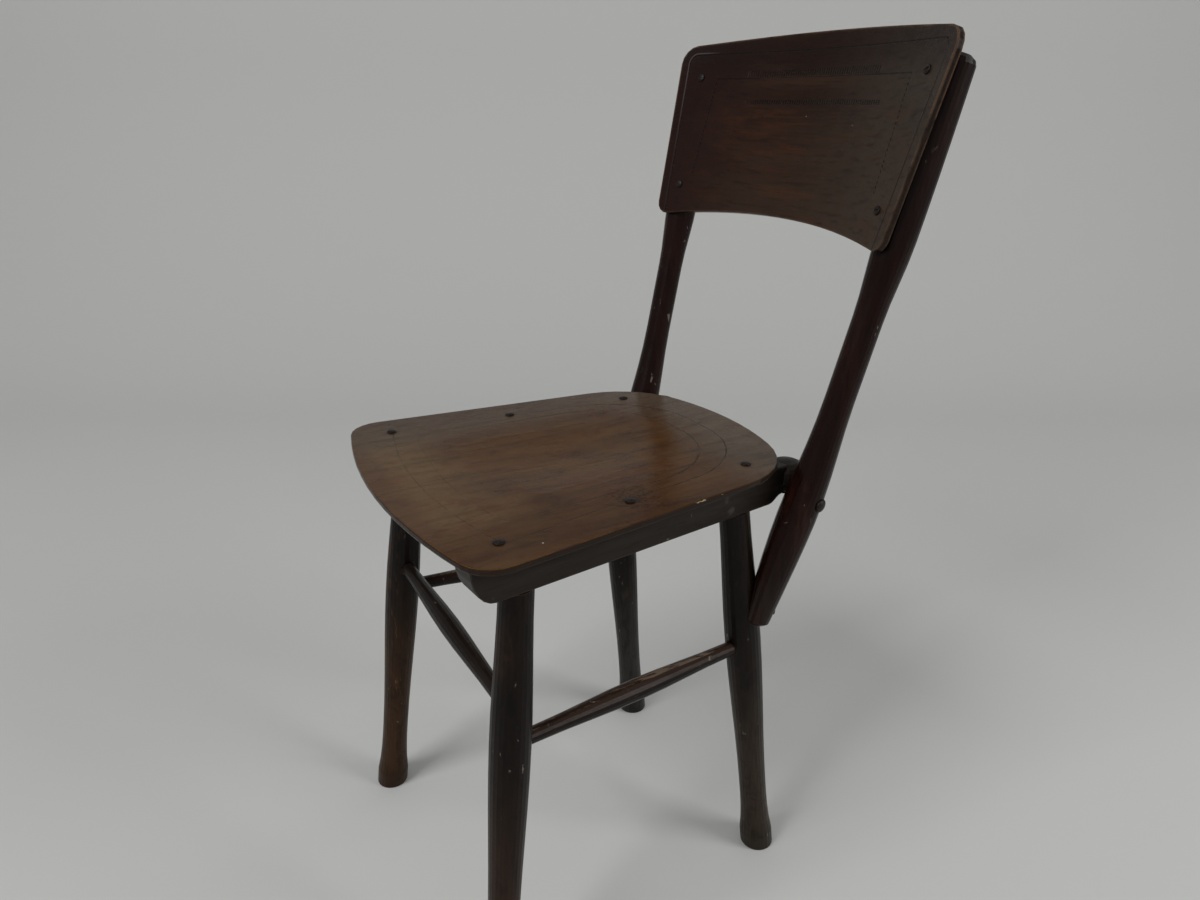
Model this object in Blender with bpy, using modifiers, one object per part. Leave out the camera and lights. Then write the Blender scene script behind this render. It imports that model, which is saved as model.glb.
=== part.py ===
"""An old turned side chair with a plywood seat and a curved plywood back, in metres, +Z up.

Four splayed legs stand in two side rails. The seat panel is nailed on the rails. Two turned posts lean
back, each bolted to the knob at the rear of a rail and screwed to a rear leg, and carry the back panel.
The front is at -Y. Left and right are as seen by someone who faces the chair from the front, so right
is at +X.
"""
import math

import bmesh
import bpy
from mathutils import Matrix, Vector

# Fits
CLEARANCE = 0.0003

# Seat panel, a bent plywood sheet with a shallow dish between the rails
SEAT_HEIGHT = 0.450
SEAT_THICKNESS = 0.006
SEAT_FRONT_Y = -0.146
SEAT_REAR_Y = 0.228
SEAT_WIDTH_AT_FRONT_LEGS = 0.334
SEAT_WIDTH_AT_REAR_LEGS = 0.281
SEAT_FRONT_BOW_RADIUS = 0.576
SEAT_REAR_BOW_RADIUS = 0.280
SEAT_FRONT_CORNER_RADIUS = 0.030
SEAT_REAR_CORNER_RADIUS = 0.090
SEAT_DISH_DEPTH = 0.005
SEAT_DISH_MARGIN = 0.004
SEAT_DISH_LENGTH_SHARE = 0.84
PLYWOOD_EDGE_ROUND = 0.0014

# Legs, turned, with a flared foot, a slim ankle and a swelling where the stretchers enter
FRONT_LEG_TOP = (0.1310, -0.0766)
REAR_LEG_TOP = (0.1080, 0.1536)
FRONT_FOOT = (0.1598, -0.1221)
REAR_FOOT = (0.1295, 0.1994)
LEG_FOOT_RADIUS = 0.0172
LEG_FOOT_HEIGHT = 0.018
LEG_ANKLE_RADIUS = 0.0139
LEG_ANKLE_HEIGHT = 0.085
LEG_SWELL_RADIUS = 0.0176
LEG_SWELL_HEIGHT = 0.270
LEG_NECK_RADIUS = 0.0143
LEG_SOLE_ROUND = 0.0014
TENON_RADIUS = 0.0090
TENON_LENGTH = 0.022

# Side rails, sawn beams with a rounded front corner below, a rear end that rises to an upright knob
RAIL_HEIGHT = 0.035
RAIL_THICKNESS = 0.029
RAIL_FRONT_OVERHANG = 0.0450
RAIL_FRONT_ROUND_LENGTH = 0.020
RAIL_FRONT_ROUND_HEIGHT = 0.031
RAIL_EDGE_ROUND = 0.002
RAIL_END_ROUND = 0.004
RAIL_REAR_RISE_START = 0.0300
RAIL_REAR_RISE_LENGTH = 0.0150
RAIL_REAR_RISE_HEIGHT = 0.0072
RAIL_SHORT_OF_KNOB = 0.0090
KNOB_RADIUS = 0.0180
KNOB_BASE_HEIGHT = 0.0065
KNOB_BASE_ROUND = 0.0025
KNOB_DOME_HEIGHT = 0.0075
KNOB_BITE = 0.0008
KNOB_SIDE = (-1.0, 0.12, 0.0)

# Back posts, turned like long clubs, thickest at the knobs and bent forwards below them
POST_FOOT_HEIGHT = 0.2930
POST_FOOT_FROM_LEG = (0.0164, 0.0134)
POST_TOP_HEIGHT = 0.7830
POST_LEAN = 0.2492
POST_SPLAY = 0.0660
POST_FOOT_RADIUS = 0.0118
POST_JOINT_RADIUS = 0.0180
POST_JOINT_HEIGHT = 0.400
POST_WAIST_RADIUS = 0.0131
POST_WAIST_START = 0.512
POST_WAIST_END = 0.582
POST_SHOULDER_RADIUS = 0.0166
POST_SHOULDER_HEIGHT = 0.650
POST_TIP_RADIUS = 0.0143
POST_DOME_HEIGHT = 0.0085
POST_END_ROUND = 0.0030
POST_BEND = 0.0082
POST_BEND_START = 0.480

# Back panel, a plywood sheet bent round the sitter
PANEL_THICKNESS = 0.006
PANEL_BEND_RADIUS = 0.480
PANEL_TOP_WIDTH = 0.360
PANEL_BOTTOM_WIDTH = 0.324
PANEL_TOP_HEIGHT = 0.8094
PANEL_BOTTOM_HEIGHT = 0.6398
PANEL_CROWN = 0.0075
PANEL_ARCH = 0.0113
PANEL_TOP_CORNER_RADIUS = 0.016
PANEL_BOTTOM_CORNER_RADIUS = 0.012
PANEL_HOUSING = 0.0006

# Stretchers, turned, with a slight swelling in the middle
FRONT_STRETCHER_HEIGHT = 0.2985
SIDE_STRETCHER_FRONT_HEIGHT = 0.2680
SIDE_STRETCHER_REAR_HEIGHT = 0.2600
STRETCHER_END_RADIUS = 0.0070
STRETCHER_MIDDLE_RADIUS = 0.0098
STRETCHER_SETBACK = 0.0060

# Seat nails, through the panel into the rails
NAIL_HEAD_RADIUS = 0.0045
NAIL_HEAD_HEIGHT = 0.0019
NAIL_SHANK_RADIUS = 0.0015
NAIL_LENGTH = 0.020
NAIL_ROWS = {"front": -0.0900, "middle": 0.0330, "rear": 0.1650}

# Back screws, through the panel into the posts
SCREW_HEAD_RADIUS = 0.0040
SCREW_HEAD_HEIGHT = 0.0018
SCREW_SHANK_RADIUS = 0.0017
SCREW_LENGTH = 0.022
SCREW_INSET = 0.0130
SCREW_ROWS = {"upper": 0.7790, "lower": 0.6720}

# Bolts from the posts into the rails, and screws from the posts into the rear legs
BOLT_HEIGHT = 0.4190
BOLT_AZIMUTH = math.radians(18.0)
BOLT_HEAD_RADIUS = 0.0066
BOLT_HEAD_HEIGHT = 0.0042
BOLT_SHANK_RADIUS = 0.0026
BOLT_LENGTH = 0.056
FOOT_SCREW_HEIGHT = 0.3065
FOOT_SCREW_AZIMUTH = math.radians(48.0)
FOOT_SCREW_HEAD_RADIUS = 0.0040
FOOT_SCREW_HEAD_HEIGHT = 0.0020
FOOT_SCREW_SHANK_RADIUS = 0.0018
FOOT_SCREW_LENGTH = 0.028
SPOT_FACE_DEPTH = 0.0012

# Facets
TURNED_STEPS = 24
SMALL_STEPS = 12
SEAT_RINGS = (0.93, 0.78, 0.61, 0.42, 0.20)
DOME_STEP = math.radians(27.0)
SMOOTH_ANGLE = math.radians(38.0)

RAIL_TOP = SEAT_HEIGHT - SEAT_THICKNESS - CLEARANCE
RAIL_BOTTOM = RAIL_TOP - RAIL_HEIGHT
SIDES = {"right": 1, "left": -1}


def empty_scene():
    """Remove what the scene holds and make the two collections."""
    for old in list(bpy.data.objects):
        bpy.data.objects.remove(old)
    parts = bpy.data.collections.new("side_chair")
    cutters = bpy.data.collections.new("cutters")
    for collection in (parts, cutters):
        bpy.context.scene.collection.children.link(collection)
    return parts, cutters


PARTS, CUTTERS = empty_scene()
CHAIR = bpy.data.objects.new("chair", None)
PARTS.objects.link(CHAIR)


def wood(name, colour, roughness):
    """A Principled material for one sub-part."""
    material = bpy.data.materials.new(name)
    material.use_nodes = True
    shader = material.node_tree.nodes["Principled BSDF"]
    shader.inputs["Base Color"].default_value = (*colour, 1.0)
    shader.inputs["Roughness"].default_value = roughness
    return material


def iron(name):
    """The dark iron of a nail, screw or bolt."""
    material = wood(name, (0.030, 0.024, 0.020), 0.45)
    material.node_tree.nodes["Principled BSDF"].inputs["Metallic"].default_value = 0.9
    return material


def add_object(name, mesh, collection=PARTS):
    """Link a mesh as an object under the chair, and mark it if it is a cutter."""
    piece = bpy.data.objects.new(name, mesh)
    collection.objects.link(piece)
    piece.parent = CHAIR
    if collection is CUTTERS:
        piece.hide_render = True
        piece.display_type = "WIRE"
    return piece


def place(piece, point, direction):
    """Stand a piece on a point with its own Z along a direction."""
    turn = Vector(direction).to_track_quat("Z", "Y").to_matrix().to_4x4()
    piece.matrix_basis = Matrix.Translation(Vector(point)) @ turn
    return piece


def mirrored(point, side):
    """A point of the right half, on the given side."""
    return Vector((point[0] * side, *point[1:]))


def turned(name, profile, steps, collection=PARTS):
    """A turned shape from (radius, height) points that run from top to bottom."""
    mesh = bpy.data.meshes.new(name)
    points = [(radius, 0.0, height) for radius, height in profile]
    mesh.from_pydata(points, [(i, i + 1) for i in range(len(points) - 1)], [])
    piece = add_object(name, mesh, collection)
    lathe = piece.modifiers.new("Lathe", "SCREW")
    lathe.steps = steps
    lathe.render_steps = steps
    lathe.use_merge_vertices = True
    lathe.merge_threshold = 0.00001
    return piece


def drill(name, point, direction, radius, start, end, steps=SMALL_STEPS):
    """A round cutter along a direction, between two distances from a point."""
    shape = bmesh.new()
    bmesh.ops.create_cone(shape, cap_ends=True, segments=steps, radius1=radius, radius2=radius,
                          depth=end - start)
    bmesh.ops.translate(shape, verts=shape.verts, vec=(0, 0, (start + end) / 2))
    mesh = bpy.data.meshes.new(name)
    shape.to_mesh(mesh)
    shape.free()
    return place(add_object(name, mesh, CUTTERS), point, direction)


def block(name, low, high):
    """A box cutter between two corners."""
    shape = bmesh.new()
    bmesh.ops.create_cube(shape, size=1.0)
    size = Vector(high) - Vector(low)
    bmesh.ops.scale(shape, vec=size, verts=shape.verts)
    bmesh.ops.translate(shape, vec=Vector(low) + size / 2, verts=shape.verts)
    mesh = bpy.data.meshes.new(name)
    shape.to_mesh(mesh)
    shape.free()
    return add_object(name, mesh, CUTTERS)


def combine(piece, cutter, operation="DIFFERENCE"):
    """Cut a piece by another, or join the two."""
    step = piece.modifiers.new(cutter.name, "BOOLEAN")
    step.operation = operation
    step.object = cutter


def settle(piece):
    """Replace a piece's mesh by its evaluated one, and clear the modifiers."""
    bpy.context.view_layer.update()
    graph = bpy.context.evaluated_depsgraph_get()
    mesh = bpy.data.meshes.new_from_object(piece.evaluated_get(graph))
    piece.modifiers.clear()
    piece.data = mesh
    return piece


def finish(piece, material):
    """Settle a piece, give it its material and shade its round faces smooth."""
    settle(piece)
    piece.data.materials.clear()
    piece.data.materials.append(material)
    piece.data.shade_smooth()
    piece.data.set_sharp_from_angle(angle=SMOOTH_ANGLE)


def span(start, end, steps, easing):
    """Points after start up to end, both (height, radius), the radius led by an easing."""
    points = []
    for i in range(1, steps + 1):
        t = i / steps
        height = start[0] + (end[0] - start[0]) * t
        points.append((height, start[1] + (end[1] - start[1]) * easing(t)))
    return points


def wave(t):
    """Slow at both ends."""
    return (1 - math.cos(math.pi * t)) / 2


def cove(t):
    """Fast first, then slow, like the hollow over a foot."""
    return 1 - (1 - t) ** 3


def taper_out(t):
    """Grows fast first."""
    return 1 - (1 - t) ** 1.6


def taper_in(t):
    """Falls slowly first."""
    return t ** 1.7


def dome(base, height):
    """Points of a round end of some height that follow a (height, radius) point."""
    start, radius = base
    angles = [i * DOME_STEP for i in range(1, 4)]
    return [(start + height * math.sin(angle), radius * math.cos(angle)) for angle in angles]


def lathe_profile(outline, growth):
    """A closed (radius, height) profile, top to bottom, from (height, radius) points that run up."""
    rising = [(radius + growth, height) for height, radius in outline]
    bottom = (0.0, rising[0][1])
    top = (0.0, rising[-1][1])
    return [top] + rising[::-1] + [bottom]


def axis_point(line, height):
    """The point of a line, given by two points, at a height."""
    low, high = line
    return low.lerp(high, (height - low.z) / (high.z - low.z))


# Legs

def leg_line(row, side):
    """The axis of a leg, from the floor to the underside of its rail."""
    foot = FRONT_FOOT if row == "front" else REAR_FOOT
    top = FRONT_LEG_TOP if row == "front" else REAR_LEG_TOP
    return mirrored((*foot, 0.0), side), mirrored((*top, RAIL_BOTTOM), side)


def leg_outline(length):
    """The turned outline of a leg over its own length, a little past both ends."""
    spare = LEG_FOOT_RADIUS
    outline = [(-spare, LEG_FOOT_RADIUS), (LEG_FOOT_HEIGHT, LEG_FOOT_RADIUS)]
    for end, steps, easing in (((LEG_ANKLE_HEIGHT, LEG_ANKLE_RADIUS), 4, cove),
                               ((LEG_SWELL_HEIGHT, LEG_SWELL_RADIUS), 6, wave),
                               ((length, LEG_NECK_RADIUS), 5, wave)):
        outline += span(outline[-1], end, steps, easing)
    outline.append((length + spare, LEG_NECK_RADIUS))
    return outline


def leg_body(name, line, growth, collection):
    """The turned body of a leg on its axis."""
    foot, top = line
    outline = leg_outline((top - foot).length)
    piece = turned(name, lathe_profile(outline, growth), TURNED_STEPS, collection)
    return place(piece, foot, top - foot)


def soften_sole(piece):
    """Round the rim of the flat sole."""
    shape = bmesh.new()
    shape.from_mesh(piece.data)
    matrix = piece.matrix_basis
    flat = [v for v in shape.verts if abs((matrix @ v.co).z) < CLEARANCE]
    sole = set(flat)
    rim = [e for e in shape.edges if set(e.verts) <= sole and e.calc_face_angle(0.0) > 0.5]
    bmesh.ops.bevel(shape, geom=rim, offset=LEG_SOLE_ROUND, segments=2, profile=0.5, affect="EDGES")
    shape.to_mesh(piece.data)
    shape.free()


def build_leg(row, side_name):
    """A splayed leg with a flat sole and a round tenon for its rail."""
    line = leg_line(row, SIDES[side_name])
    foot, top = line
    name = f"leg_{row}_{side_name}"
    leg = leg_body(name, line, 0.0, PARTS)
    reach = 4 * LEG_FOOT_RADIUS
    corner = Vector((reach, reach, 0))
    below = block(f"{name}_floor", foot - corner - Vector((0, 0, reach)), foot + corner)
    combine(leg, below)
    settle(leg)
    soften_sole(leg)
    shoulder = Vector((top.x, top.y, RAIL_BOTTOM - CLEARANCE))
    above = block(f"{name}_shoulder", shoulder - corner, shoulder + corner + Vector((0, 0, reach)))
    combine(leg, above)
    tenon = drill(f"{name}_tenon", top, top - foot, TENON_RADIUS, -TENON_LENGTH, TENON_LENGTH, TURNED_STEPS)
    combine(leg, tenon, "UNION")
    return leg


# Stretchers

def stretcher_line(kind):
    """The axis of a stretcher between the axes of its two legs."""
    if kind == "front":
        height = FRONT_STRETCHER_HEIGHT
        return (axis_point(leg_line("front", -1), height), axis_point(leg_line("front", 1), height))
    side = SIDES[kind]
    return (axis_point(leg_line("front", side), SIDE_STRETCHER_FRONT_HEIGHT),
            axis_point(leg_line("rear", side), SIDE_STRETCHER_REAR_HEIGHT))


def build_stretcher(kind):
    """A turned stretcher, swelling in the middle, with ends that enter the legs."""
    start, end = stretcher_line(kind)
    length = (end - start).length
    low = (STRETCHER_SETBACK, STRETCHER_END_RADIUS)
    straight = (STRETCHER_SETBACK + LEG_SWELL_RADIUS, STRETCHER_END_RADIUS)
    middle = (length / 2, STRETCHER_MIDDLE_RADIUS)
    half = [low, straight] + span(straight, middle, 4, wave)
    outline = half + [(length - height, radius) for height, radius in half[-2::-1]]
    name = f"stretcher_{kind}"
    piece = turned(name, lathe_profile(outline, 0.0), SMALL_STEPS + 4)
    return place(piece, start, end - start)


def cut_stretcher_sockets(leg, kind):
    """Blind holes in a leg for the ends of a stretcher."""
    start, end = stretcher_line(kind)
    radius = STRETCHER_END_RADIUS + CLEARANCE
    bottom = STRETCHER_SETBACK - CLEARANCE
    near_start = (leg.matrix_basis.translation - start).length < (leg.matrix_basis.translation - end).length
    origin, target = (start, end) if near_start else (end, start)
    name = f"{leg.name}_{kind}_socket"
    combine(leg, drill(name, origin, target - origin, radius, bottom, 3 * LEG_SWELL_RADIUS, SMALL_STEPS + 4))


# Back posts

def post_line(side):
    """The axis a back post is turned on, from its foot behind the rear leg to its tip, before it is bent."""
    beside = axis_point(leg_line("rear", 1), POST_FOOT_HEIGHT)
    foot = beside + Vector((*POST_FOOT_FROM_LEG, 0))
    rise = POST_TOP_HEIGHT - POST_FOOT_HEIGHT
    tip = foot + Vector((POST_SPLAY * rise, POST_LEAN * rise, rise))
    return mirrored(foot, side), mirrored(tip, side)


def post_bend(height):
    """How far forwards a post is bent at a height."""
    share = (POST_BEND_START - height) / (POST_BEND_START - POST_FOOT_HEIGHT)
    return POST_BEND * wave(min(1.0, max(0.0, share)))


def post_point(side, height):
    """The middle of a bent post at a height."""
    return axis_point(post_line(side), height) - Vector((0, post_bend(height), 0))


def post_stations():
    """The (distance along the axis, radius) points of a post."""
    foot, tip = post_line(1)
    stretch = (tip - foot).length / (tip.z - foot.z)

    def station(height, radius):
        return (height - POST_FOOT_HEIGHT) * stretch, radius

    foot_rim = station(POST_FOOT_HEIGHT, POST_FOOT_RADIUS - POST_END_ROUND)
    outline = [foot_rim, (POST_END_ROUND, POST_FOOT_RADIUS)]
    for end, steps, easing in (
            (station(POST_JOINT_HEIGHT, POST_JOINT_RADIUS), 5, taper_out),
            (station(POST_WAIST_START, POST_WAIST_RADIUS), 5, wave),
            (station(POST_WAIST_END, POST_WAIST_RADIUS), 1, wave),
            (station(POST_SHOULDER_HEIGHT, POST_SHOULDER_RADIUS), 4, wave),
            (station(POST_TOP_HEIGHT, POST_TIP_RADIUS), 5, taper_in)):
        outline += span(outline[-1], end, steps, easing)
    return outline


def post_radius(height):
    """The radius of a post at a height, read from its outline."""
    foot, tip = post_line(1)
    along = (height - foot.z) * (tip - foot).length / (tip.z - foot.z)
    outline = post_stations()
    for (low, low_radius), (high, high_radius) in zip(outline, outline[1:]):
        if low <= along <= high:
            return low_radius + (high_radius - low_radius) * (along - low) / (high - low)
    return outline[-1][1]


def post_outline():
    """A post's outline with its domed tip."""
    outline = post_stations()
    return outline + dome(outline[-1], POST_DOME_HEIGHT)


def post_body(name, side, growth, collection):
    """The turned body of a post on its axis."""
    foot, tip = post_line(side)
    piece = settle(turned(name, lathe_profile(post_outline(), growth), TURNED_STEPS, collection))
    place(piece, foot, tip - foot)
    forwards = piece.matrix_basis.to_3x3().inverted() @ Vector((0, -1, 0))
    for vert in piece.data.vertices:
        vert.co += forwards * post_bend((piece.matrix_basis @ vert.co).z)
    return piece


# Side rails

def rail_line():
    """The right rail's axis in plan: a point over the front leg, and the direction to the rear."""
    front = Vector((*FRONT_LEG_TOP, 0))
    rear = Vector((*REAR_LEG_TOP, 0))
    return front, (rear - front).normalized()


def rail_x(y):
    """How far out the right rail's axis lies at a depth."""
    front, along = rail_line()
    return front.x + along.x * (y - front.y) / along.y


def knob_centre():
    """The centre of the right knob, just touching the inner side of the right post."""
    height = RAIL_TOP - KNOB_RADIUS
    reach = post_radius(height) + KNOB_RADIUS - KNOB_BITE
    return post_point(1, height) + Vector(KNOB_SIDE).normalized() * reach


def rail_profile(length):
    """The side view of a rail as (along, up) points, the front end first."""
    points = [(0.0, RAIL_HEIGHT)]
    for i in range(7):
        angle = math.pi + i * math.pi / 12
        along = RAIL_FRONT_ROUND_LENGTH * (1 + math.cos(angle))
        up = RAIL_FRONT_ROUND_HEIGHT * (1 + math.sin(angle))
        points.append((along, up))
    start = length + RAIL_SHORT_OF_KNOB - RAIL_REAR_RISE_START
    points.append((start, 0.0))
    points += span((start, 0.0), (start + RAIL_REAR_RISE_LENGTH, RAIL_REAR_RISE_HEIGHT), 5, wave)
    return points + [(length, RAIL_REAR_RISE_HEIGHT), (length, RAIL_HEIGHT)]


def rail_beam(name, side):
    """The beam of a rail: its side view given a thickness, with its edges rounded."""
    front, along = rail_line()
    start = front - along * RAIL_FRONT_OVERHANG
    length = (knob_centre() - start).dot(along) - RAIL_SHORT_OF_KNOB
    curve = bpy.data.curves.new(name, "CURVE")
    curve.dimensions = "2D"
    curve.fill_mode = "BOTH"
    curve.extrude = RAIL_THICKNESS / 2
    outline = curve.splines.new("POLY")
    profile = rail_profile(length)
    outline.points.add(len(profile) - 1)
    for point, (x, y) in zip(outline.points, profile):
        point.co = (x, y, 0, 1)
    outline.use_cyclic_u = True
    drawn = add_object(name + "_drawn", curve, CUTTERS)
    bpy.context.view_layer.update()
    graph = bpy.context.evaluated_depsgraph_get()
    mesh = bpy.data.meshes.new_from_object(drawn.evaluated_get(graph))
    bpy.data.objects.remove(drawn)
    shape = bmesh.new()
    shape.from_mesh(mesh)
    bmesh.ops.remove_doubles(shape, verts=shape.verts, dist=0.00001)
    bmesh.ops.dissolve_limit(shape, angle_limit=0.001, verts=shape.verts, edges=shape.edges)
    upright = [e for e in shape.edges if all(abs(v.co.x - length) < CLEARANCE for v in e.verts)
               and abs(e.verts[0].co.y - e.verts[1].co.y) > RAIL_HEIGHT / 2]
    bmesh.ops.bevel(shape, geom=upright, offset=RAIL_END_ROUND, segments=3, profile=0.5, affect="EDGES")
    sharp = [e for e in shape.edges if e.calc_face_angle(0.0) > math.radians(50.0)]
    bmesh.ops.bevel(shape, geom=sharp, offset=RAIL_EDGE_ROUND, segments=2, profile=0.5, affect="EDGES")
    bmesh.ops.recalc_face_normals(shape, faces=shape.faces)
    shape.to_mesh(mesh)
    shape.free()
    beam = add_object(name, mesh)
    flat = mirrored(along, side)
    axes = Matrix((flat, Vector((0, 0, 1)), flat.cross(Vector((0, 0, 1))))).transposed()
    corner = mirrored(start, side) + Vector((0, 0, RAIL_BOTTOM))
    beam.matrix_basis = Matrix.Translation(corner) @ axes.to_4x4()
    return beam


def knob_body(name, side):
    """The upright knob of a rail, domed above and rounded below."""
    outline = [(KNOB_BASE_HEIGHT, KNOB_RADIUS - KNOB_BASE_ROUND)]
    outline += span(outline[-1], (KNOB_BASE_HEIGHT + KNOB_BASE_ROUND, KNOB_RADIUS), 3, cove)
    outline.append((RAIL_HEIGHT - KNOB_DOME_HEIGHT, KNOB_RADIUS))
    outline += dome(outline[-1], KNOB_DOME_HEIGHT)
    piece = turned(name, lathe_profile(outline, 0.0), TURNED_STEPS, CUTTERS)
    centre = mirrored(knob_centre(), side)
    piece.location = (centre.x, centre.y, RAIL_BOTTOM)
    return piece


def build_rail(side_name):
    """A rail: its beam joined to the knob, hollowed where the post lies against it."""
    side = SIDES[side_name]
    name = f"rail_{side_name}"
    rail = rail_beam(name, side)
    combine(rail, knob_body(f"{name}_knob", side), "UNION")
    combine(rail, post_body(f"{name}_post_seat", side, CLEARANCE, CUTTERS))
    for row in ("front", "rear"):
        foot, top = leg_line(row, side)
        radius = TENON_RADIUS + CLEARANCE
        socket = drill(f"{name}_{row}_socket", top, top - foot, radius, -TENON_LENGTH,
                       TENON_LENGTH + CLEARANCE, TURNED_STEPS)
        combine(rail, socket)
    return rail


# Plywood panels

def corner_arc(point, along, inward, centre, radius, fillet, bulge, steps):
    """Points of a fillet from a straight side to a round edge.

    The side runs through a point. The round edge has its own centre and radius, and bulge is 1 where it
    curves outwards and -1 where it curves inwards.
    """
    reach = radius - bulge * fillet
    offset = point + inward * fillet - centre
    half = offset.dot(along)
    root = math.sqrt(half * half - offset.length_squared + reach * reach)
    middle = centre + offset + along * (bulge * root - half)
    first = -inward
    last = (middle - centre).normalized() * bulge
    turn = first.angle_signed(last)
    arc = [middle + Matrix.Rotation(-turn * i / steps, 2) @ (first * fillet) for i in range(steps + 1)]
    return arc


def round_edge(centre, radius, end, steps):
    """Points from one end of a round edge to its middle, the end left out."""
    start = (end - centre)
    middle = Vector((0.0, math.copysign(radius, start.y)))
    turn = start.angle_signed(middle)
    return [centre + Matrix.Rotation(-turn * i / steps, 2) @ start for i in range(1, steps + 1)]


def whole_outline(half):
    """A closed outline from the right half, whose first and last points lie on the centre line."""
    return half + [Vector((-p.x, p.y)) for p in half[-2:0:-1]]


def seat_outline():
    """The seat's outline in plan, from the middle of the front to the middle of the rear."""
    wide = Vector((SEAT_WIDTH_AT_FRONT_LEGS / 2, FRONT_LEG_TOP[1]))
    narrow = Vector((SEAT_WIDTH_AT_REAR_LEGS / 2, REAR_LEG_TOP[1]))
    backwards = (narrow - wide).normalized()
    inward = Vector((-backwards.y, backwards.x))
    front_centre = Vector((0.0, SEAT_FRONT_Y + SEAT_FRONT_BOW_RADIUS))
    rear_centre = Vector((0.0, SEAT_REAR_Y - SEAT_REAR_BOW_RADIUS))
    front = corner_arc(wide, -backwards, inward, front_centre, SEAT_FRONT_BOW_RADIUS,
                       SEAT_FRONT_CORNER_RADIUS, 1, 5)
    rear = corner_arc(narrow, backwards, inward, rear_centre, SEAT_REAR_BOW_RADIUS,
                      SEAT_REAR_CORNER_RADIUS, 1, 7)
    front_edge = round_edge(front_centre, SEAT_FRONT_BOW_RADIUS, front[-1], 6)
    rear_edge = round_edge(rear_centre, SEAT_REAR_BOW_RADIUS, rear[-1], 4)
    side = [front[0].lerp(rear[0], i / 7) for i in range(1, 7)]
    return whole_outline(front_edge[::-1] + front[::-1] + side + rear + rear_edge)


def panel_outline():
    """The back panel's outline seen square on, from the middle of the bottom to the middle of the top."""
    low = Vector((PANEL_BOTTOM_WIDTH / 2, PANEL_BOTTOM_HEIGHT))
    high = Vector((PANEL_TOP_WIDTH / 2, PANEL_TOP_HEIGHT))
    upwards = (high - low).normalized()
    inward = Vector((-upwards.y, upwards.x))
    bottom_radius = (low.x ** 2 + PANEL_ARCH ** 2) / (2 * PANEL_ARCH)
    top_radius = (high.x ** 2 + PANEL_CROWN ** 2) / (2 * PANEL_CROWN)
    bottom_centre = Vector((0.0, PANEL_BOTTOM_HEIGHT + PANEL_ARCH - bottom_radius))
    top_centre = Vector((0.0, PANEL_TOP_HEIGHT + PANEL_CROWN - top_radius))
    bottom = corner_arc(low, -upwards, inward, bottom_centre, bottom_radius,
                        PANEL_BOTTOM_CORNER_RADIUS, -1, 4)
    top = corner_arc(high, upwards, inward, top_centre, top_radius, PANEL_TOP_CORNER_RADIUS, 1, 4)
    bottom_edge = round_edge(bottom_centre, bottom_radius, bottom[-1], 7)
    top_edge = round_edge(top_centre, top_radius, top[-1], 7)
    side = [bottom[0].lerp(top[0], i / 4) for i in range(1, 4)]
    return whole_outline(bottom_edge[::-1] + bottom[::-1] + side + top + top_edge)


def ringed_sheet(outline, centre, scales):
    """A flat sheet whose rim is drawn in towards its centre, ring by ring."""
    shape = bmesh.new()
    rim = [shape.verts.new((p.x, p.y, 0)) for p in outline]
    edges = [shape.edges.new((a, b)) for a, b in zip(rim, rim[1:] + rim[:1])]
    space = Matrix.Translation((-centre.x, -centre.y, 0))
    previous = 1.0
    for scale in scales:
        made = bmesh.ops.extrude_edge_only(shape, edges=edges)["geom"]
        verts = [g for g in made if isinstance(g, bmesh.types.BMVert)]
        edges = [g for g in made if isinstance(g, bmesh.types.BMEdge)]
        bmesh.ops.scale(shape, vec=(scale / previous, scale / previous, 1), space=space, verts=verts)
        previous = scale
    middle = bmesh.ops.contextual_create(shape, geom=edges)["faces"]
    bmesh.ops.poke(shape, faces=middle)
    return shape


def stripped_sheet(outline):
    """A flat sheet in upright strips, one strip from each rim point to the next."""
    shape = bmesh.new()
    shape.faces.new([shape.verts.new((p.x, p.y, 0)) for p in outline])
    for point in outline:
        everything = shape.verts[:] + shape.edges[:] + shape.faces[:]
        bmesh.ops.bisect_plane(shape, geom=everything, dist=0.00001, plane_co=(point.x, 0, 0),
                               plane_no=(1, 0, 0))
    return shape


def bent_sheet(name, shape, shape_point, facing, thickness):
    """A plywood panel: a flat sheet bent by a function and given its thickness.

    The bent surface is the show side, which faces a direction, and the thickness lies behind it.
    """
    for vert in shape.verts:
        vert.co = shape_point(vert.co.x, vert.co.y)
    bmesh.ops.recalc_face_normals(shape, faces=shape.faces)
    shape.faces.ensure_lookup_table()
    if shape.faces[0].normal.dot(facing) < 0:
        bmesh.ops.reverse_faces(shape, faces=shape.faces)
    mesh = bpy.data.meshes.new(name)
    shape.to_mesh(mesh)
    shape.free()
    piece = add_object(name, mesh)
    wall = piece.modifiers.new("Thickness", "SOLIDIFY")
    wall.thickness = thickness
    wall.offset = -1.0
    wall.use_even_offset = True
    rim_round = piece.modifiers.new("Rim", "BEVEL")
    rim_round.width = PLYWOOD_EDGE_ROUND
    rim_round.segments = 2
    rim_round.limit_method = "ANGLE"
    rim_round.angle_limit = math.radians(60.0)
    return piece


def seat_point(x, y):
    """The seat's top surface: flat over the rails, dished between them."""
    half_width = rail_x(REAR_LEG_TOP[1]) - RAIL_THICKNESS / 2 - SEAT_DISH_MARGIN
    half_length = SEAT_DISH_LENGTH_SHARE * (SEAT_REAR_Y - SEAT_FRONT_Y) / 2
    middle = (SEAT_REAR_Y + SEAT_FRONT_Y) / 2
    spread = (x / half_width) ** 2 + ((y - middle) / half_length) ** 2
    dish = SEAT_DISH_DEPTH * max(0.0, 1 - spread) ** 2
    return Vector((x, y, SEAT_HEIGHT - dish))


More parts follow.
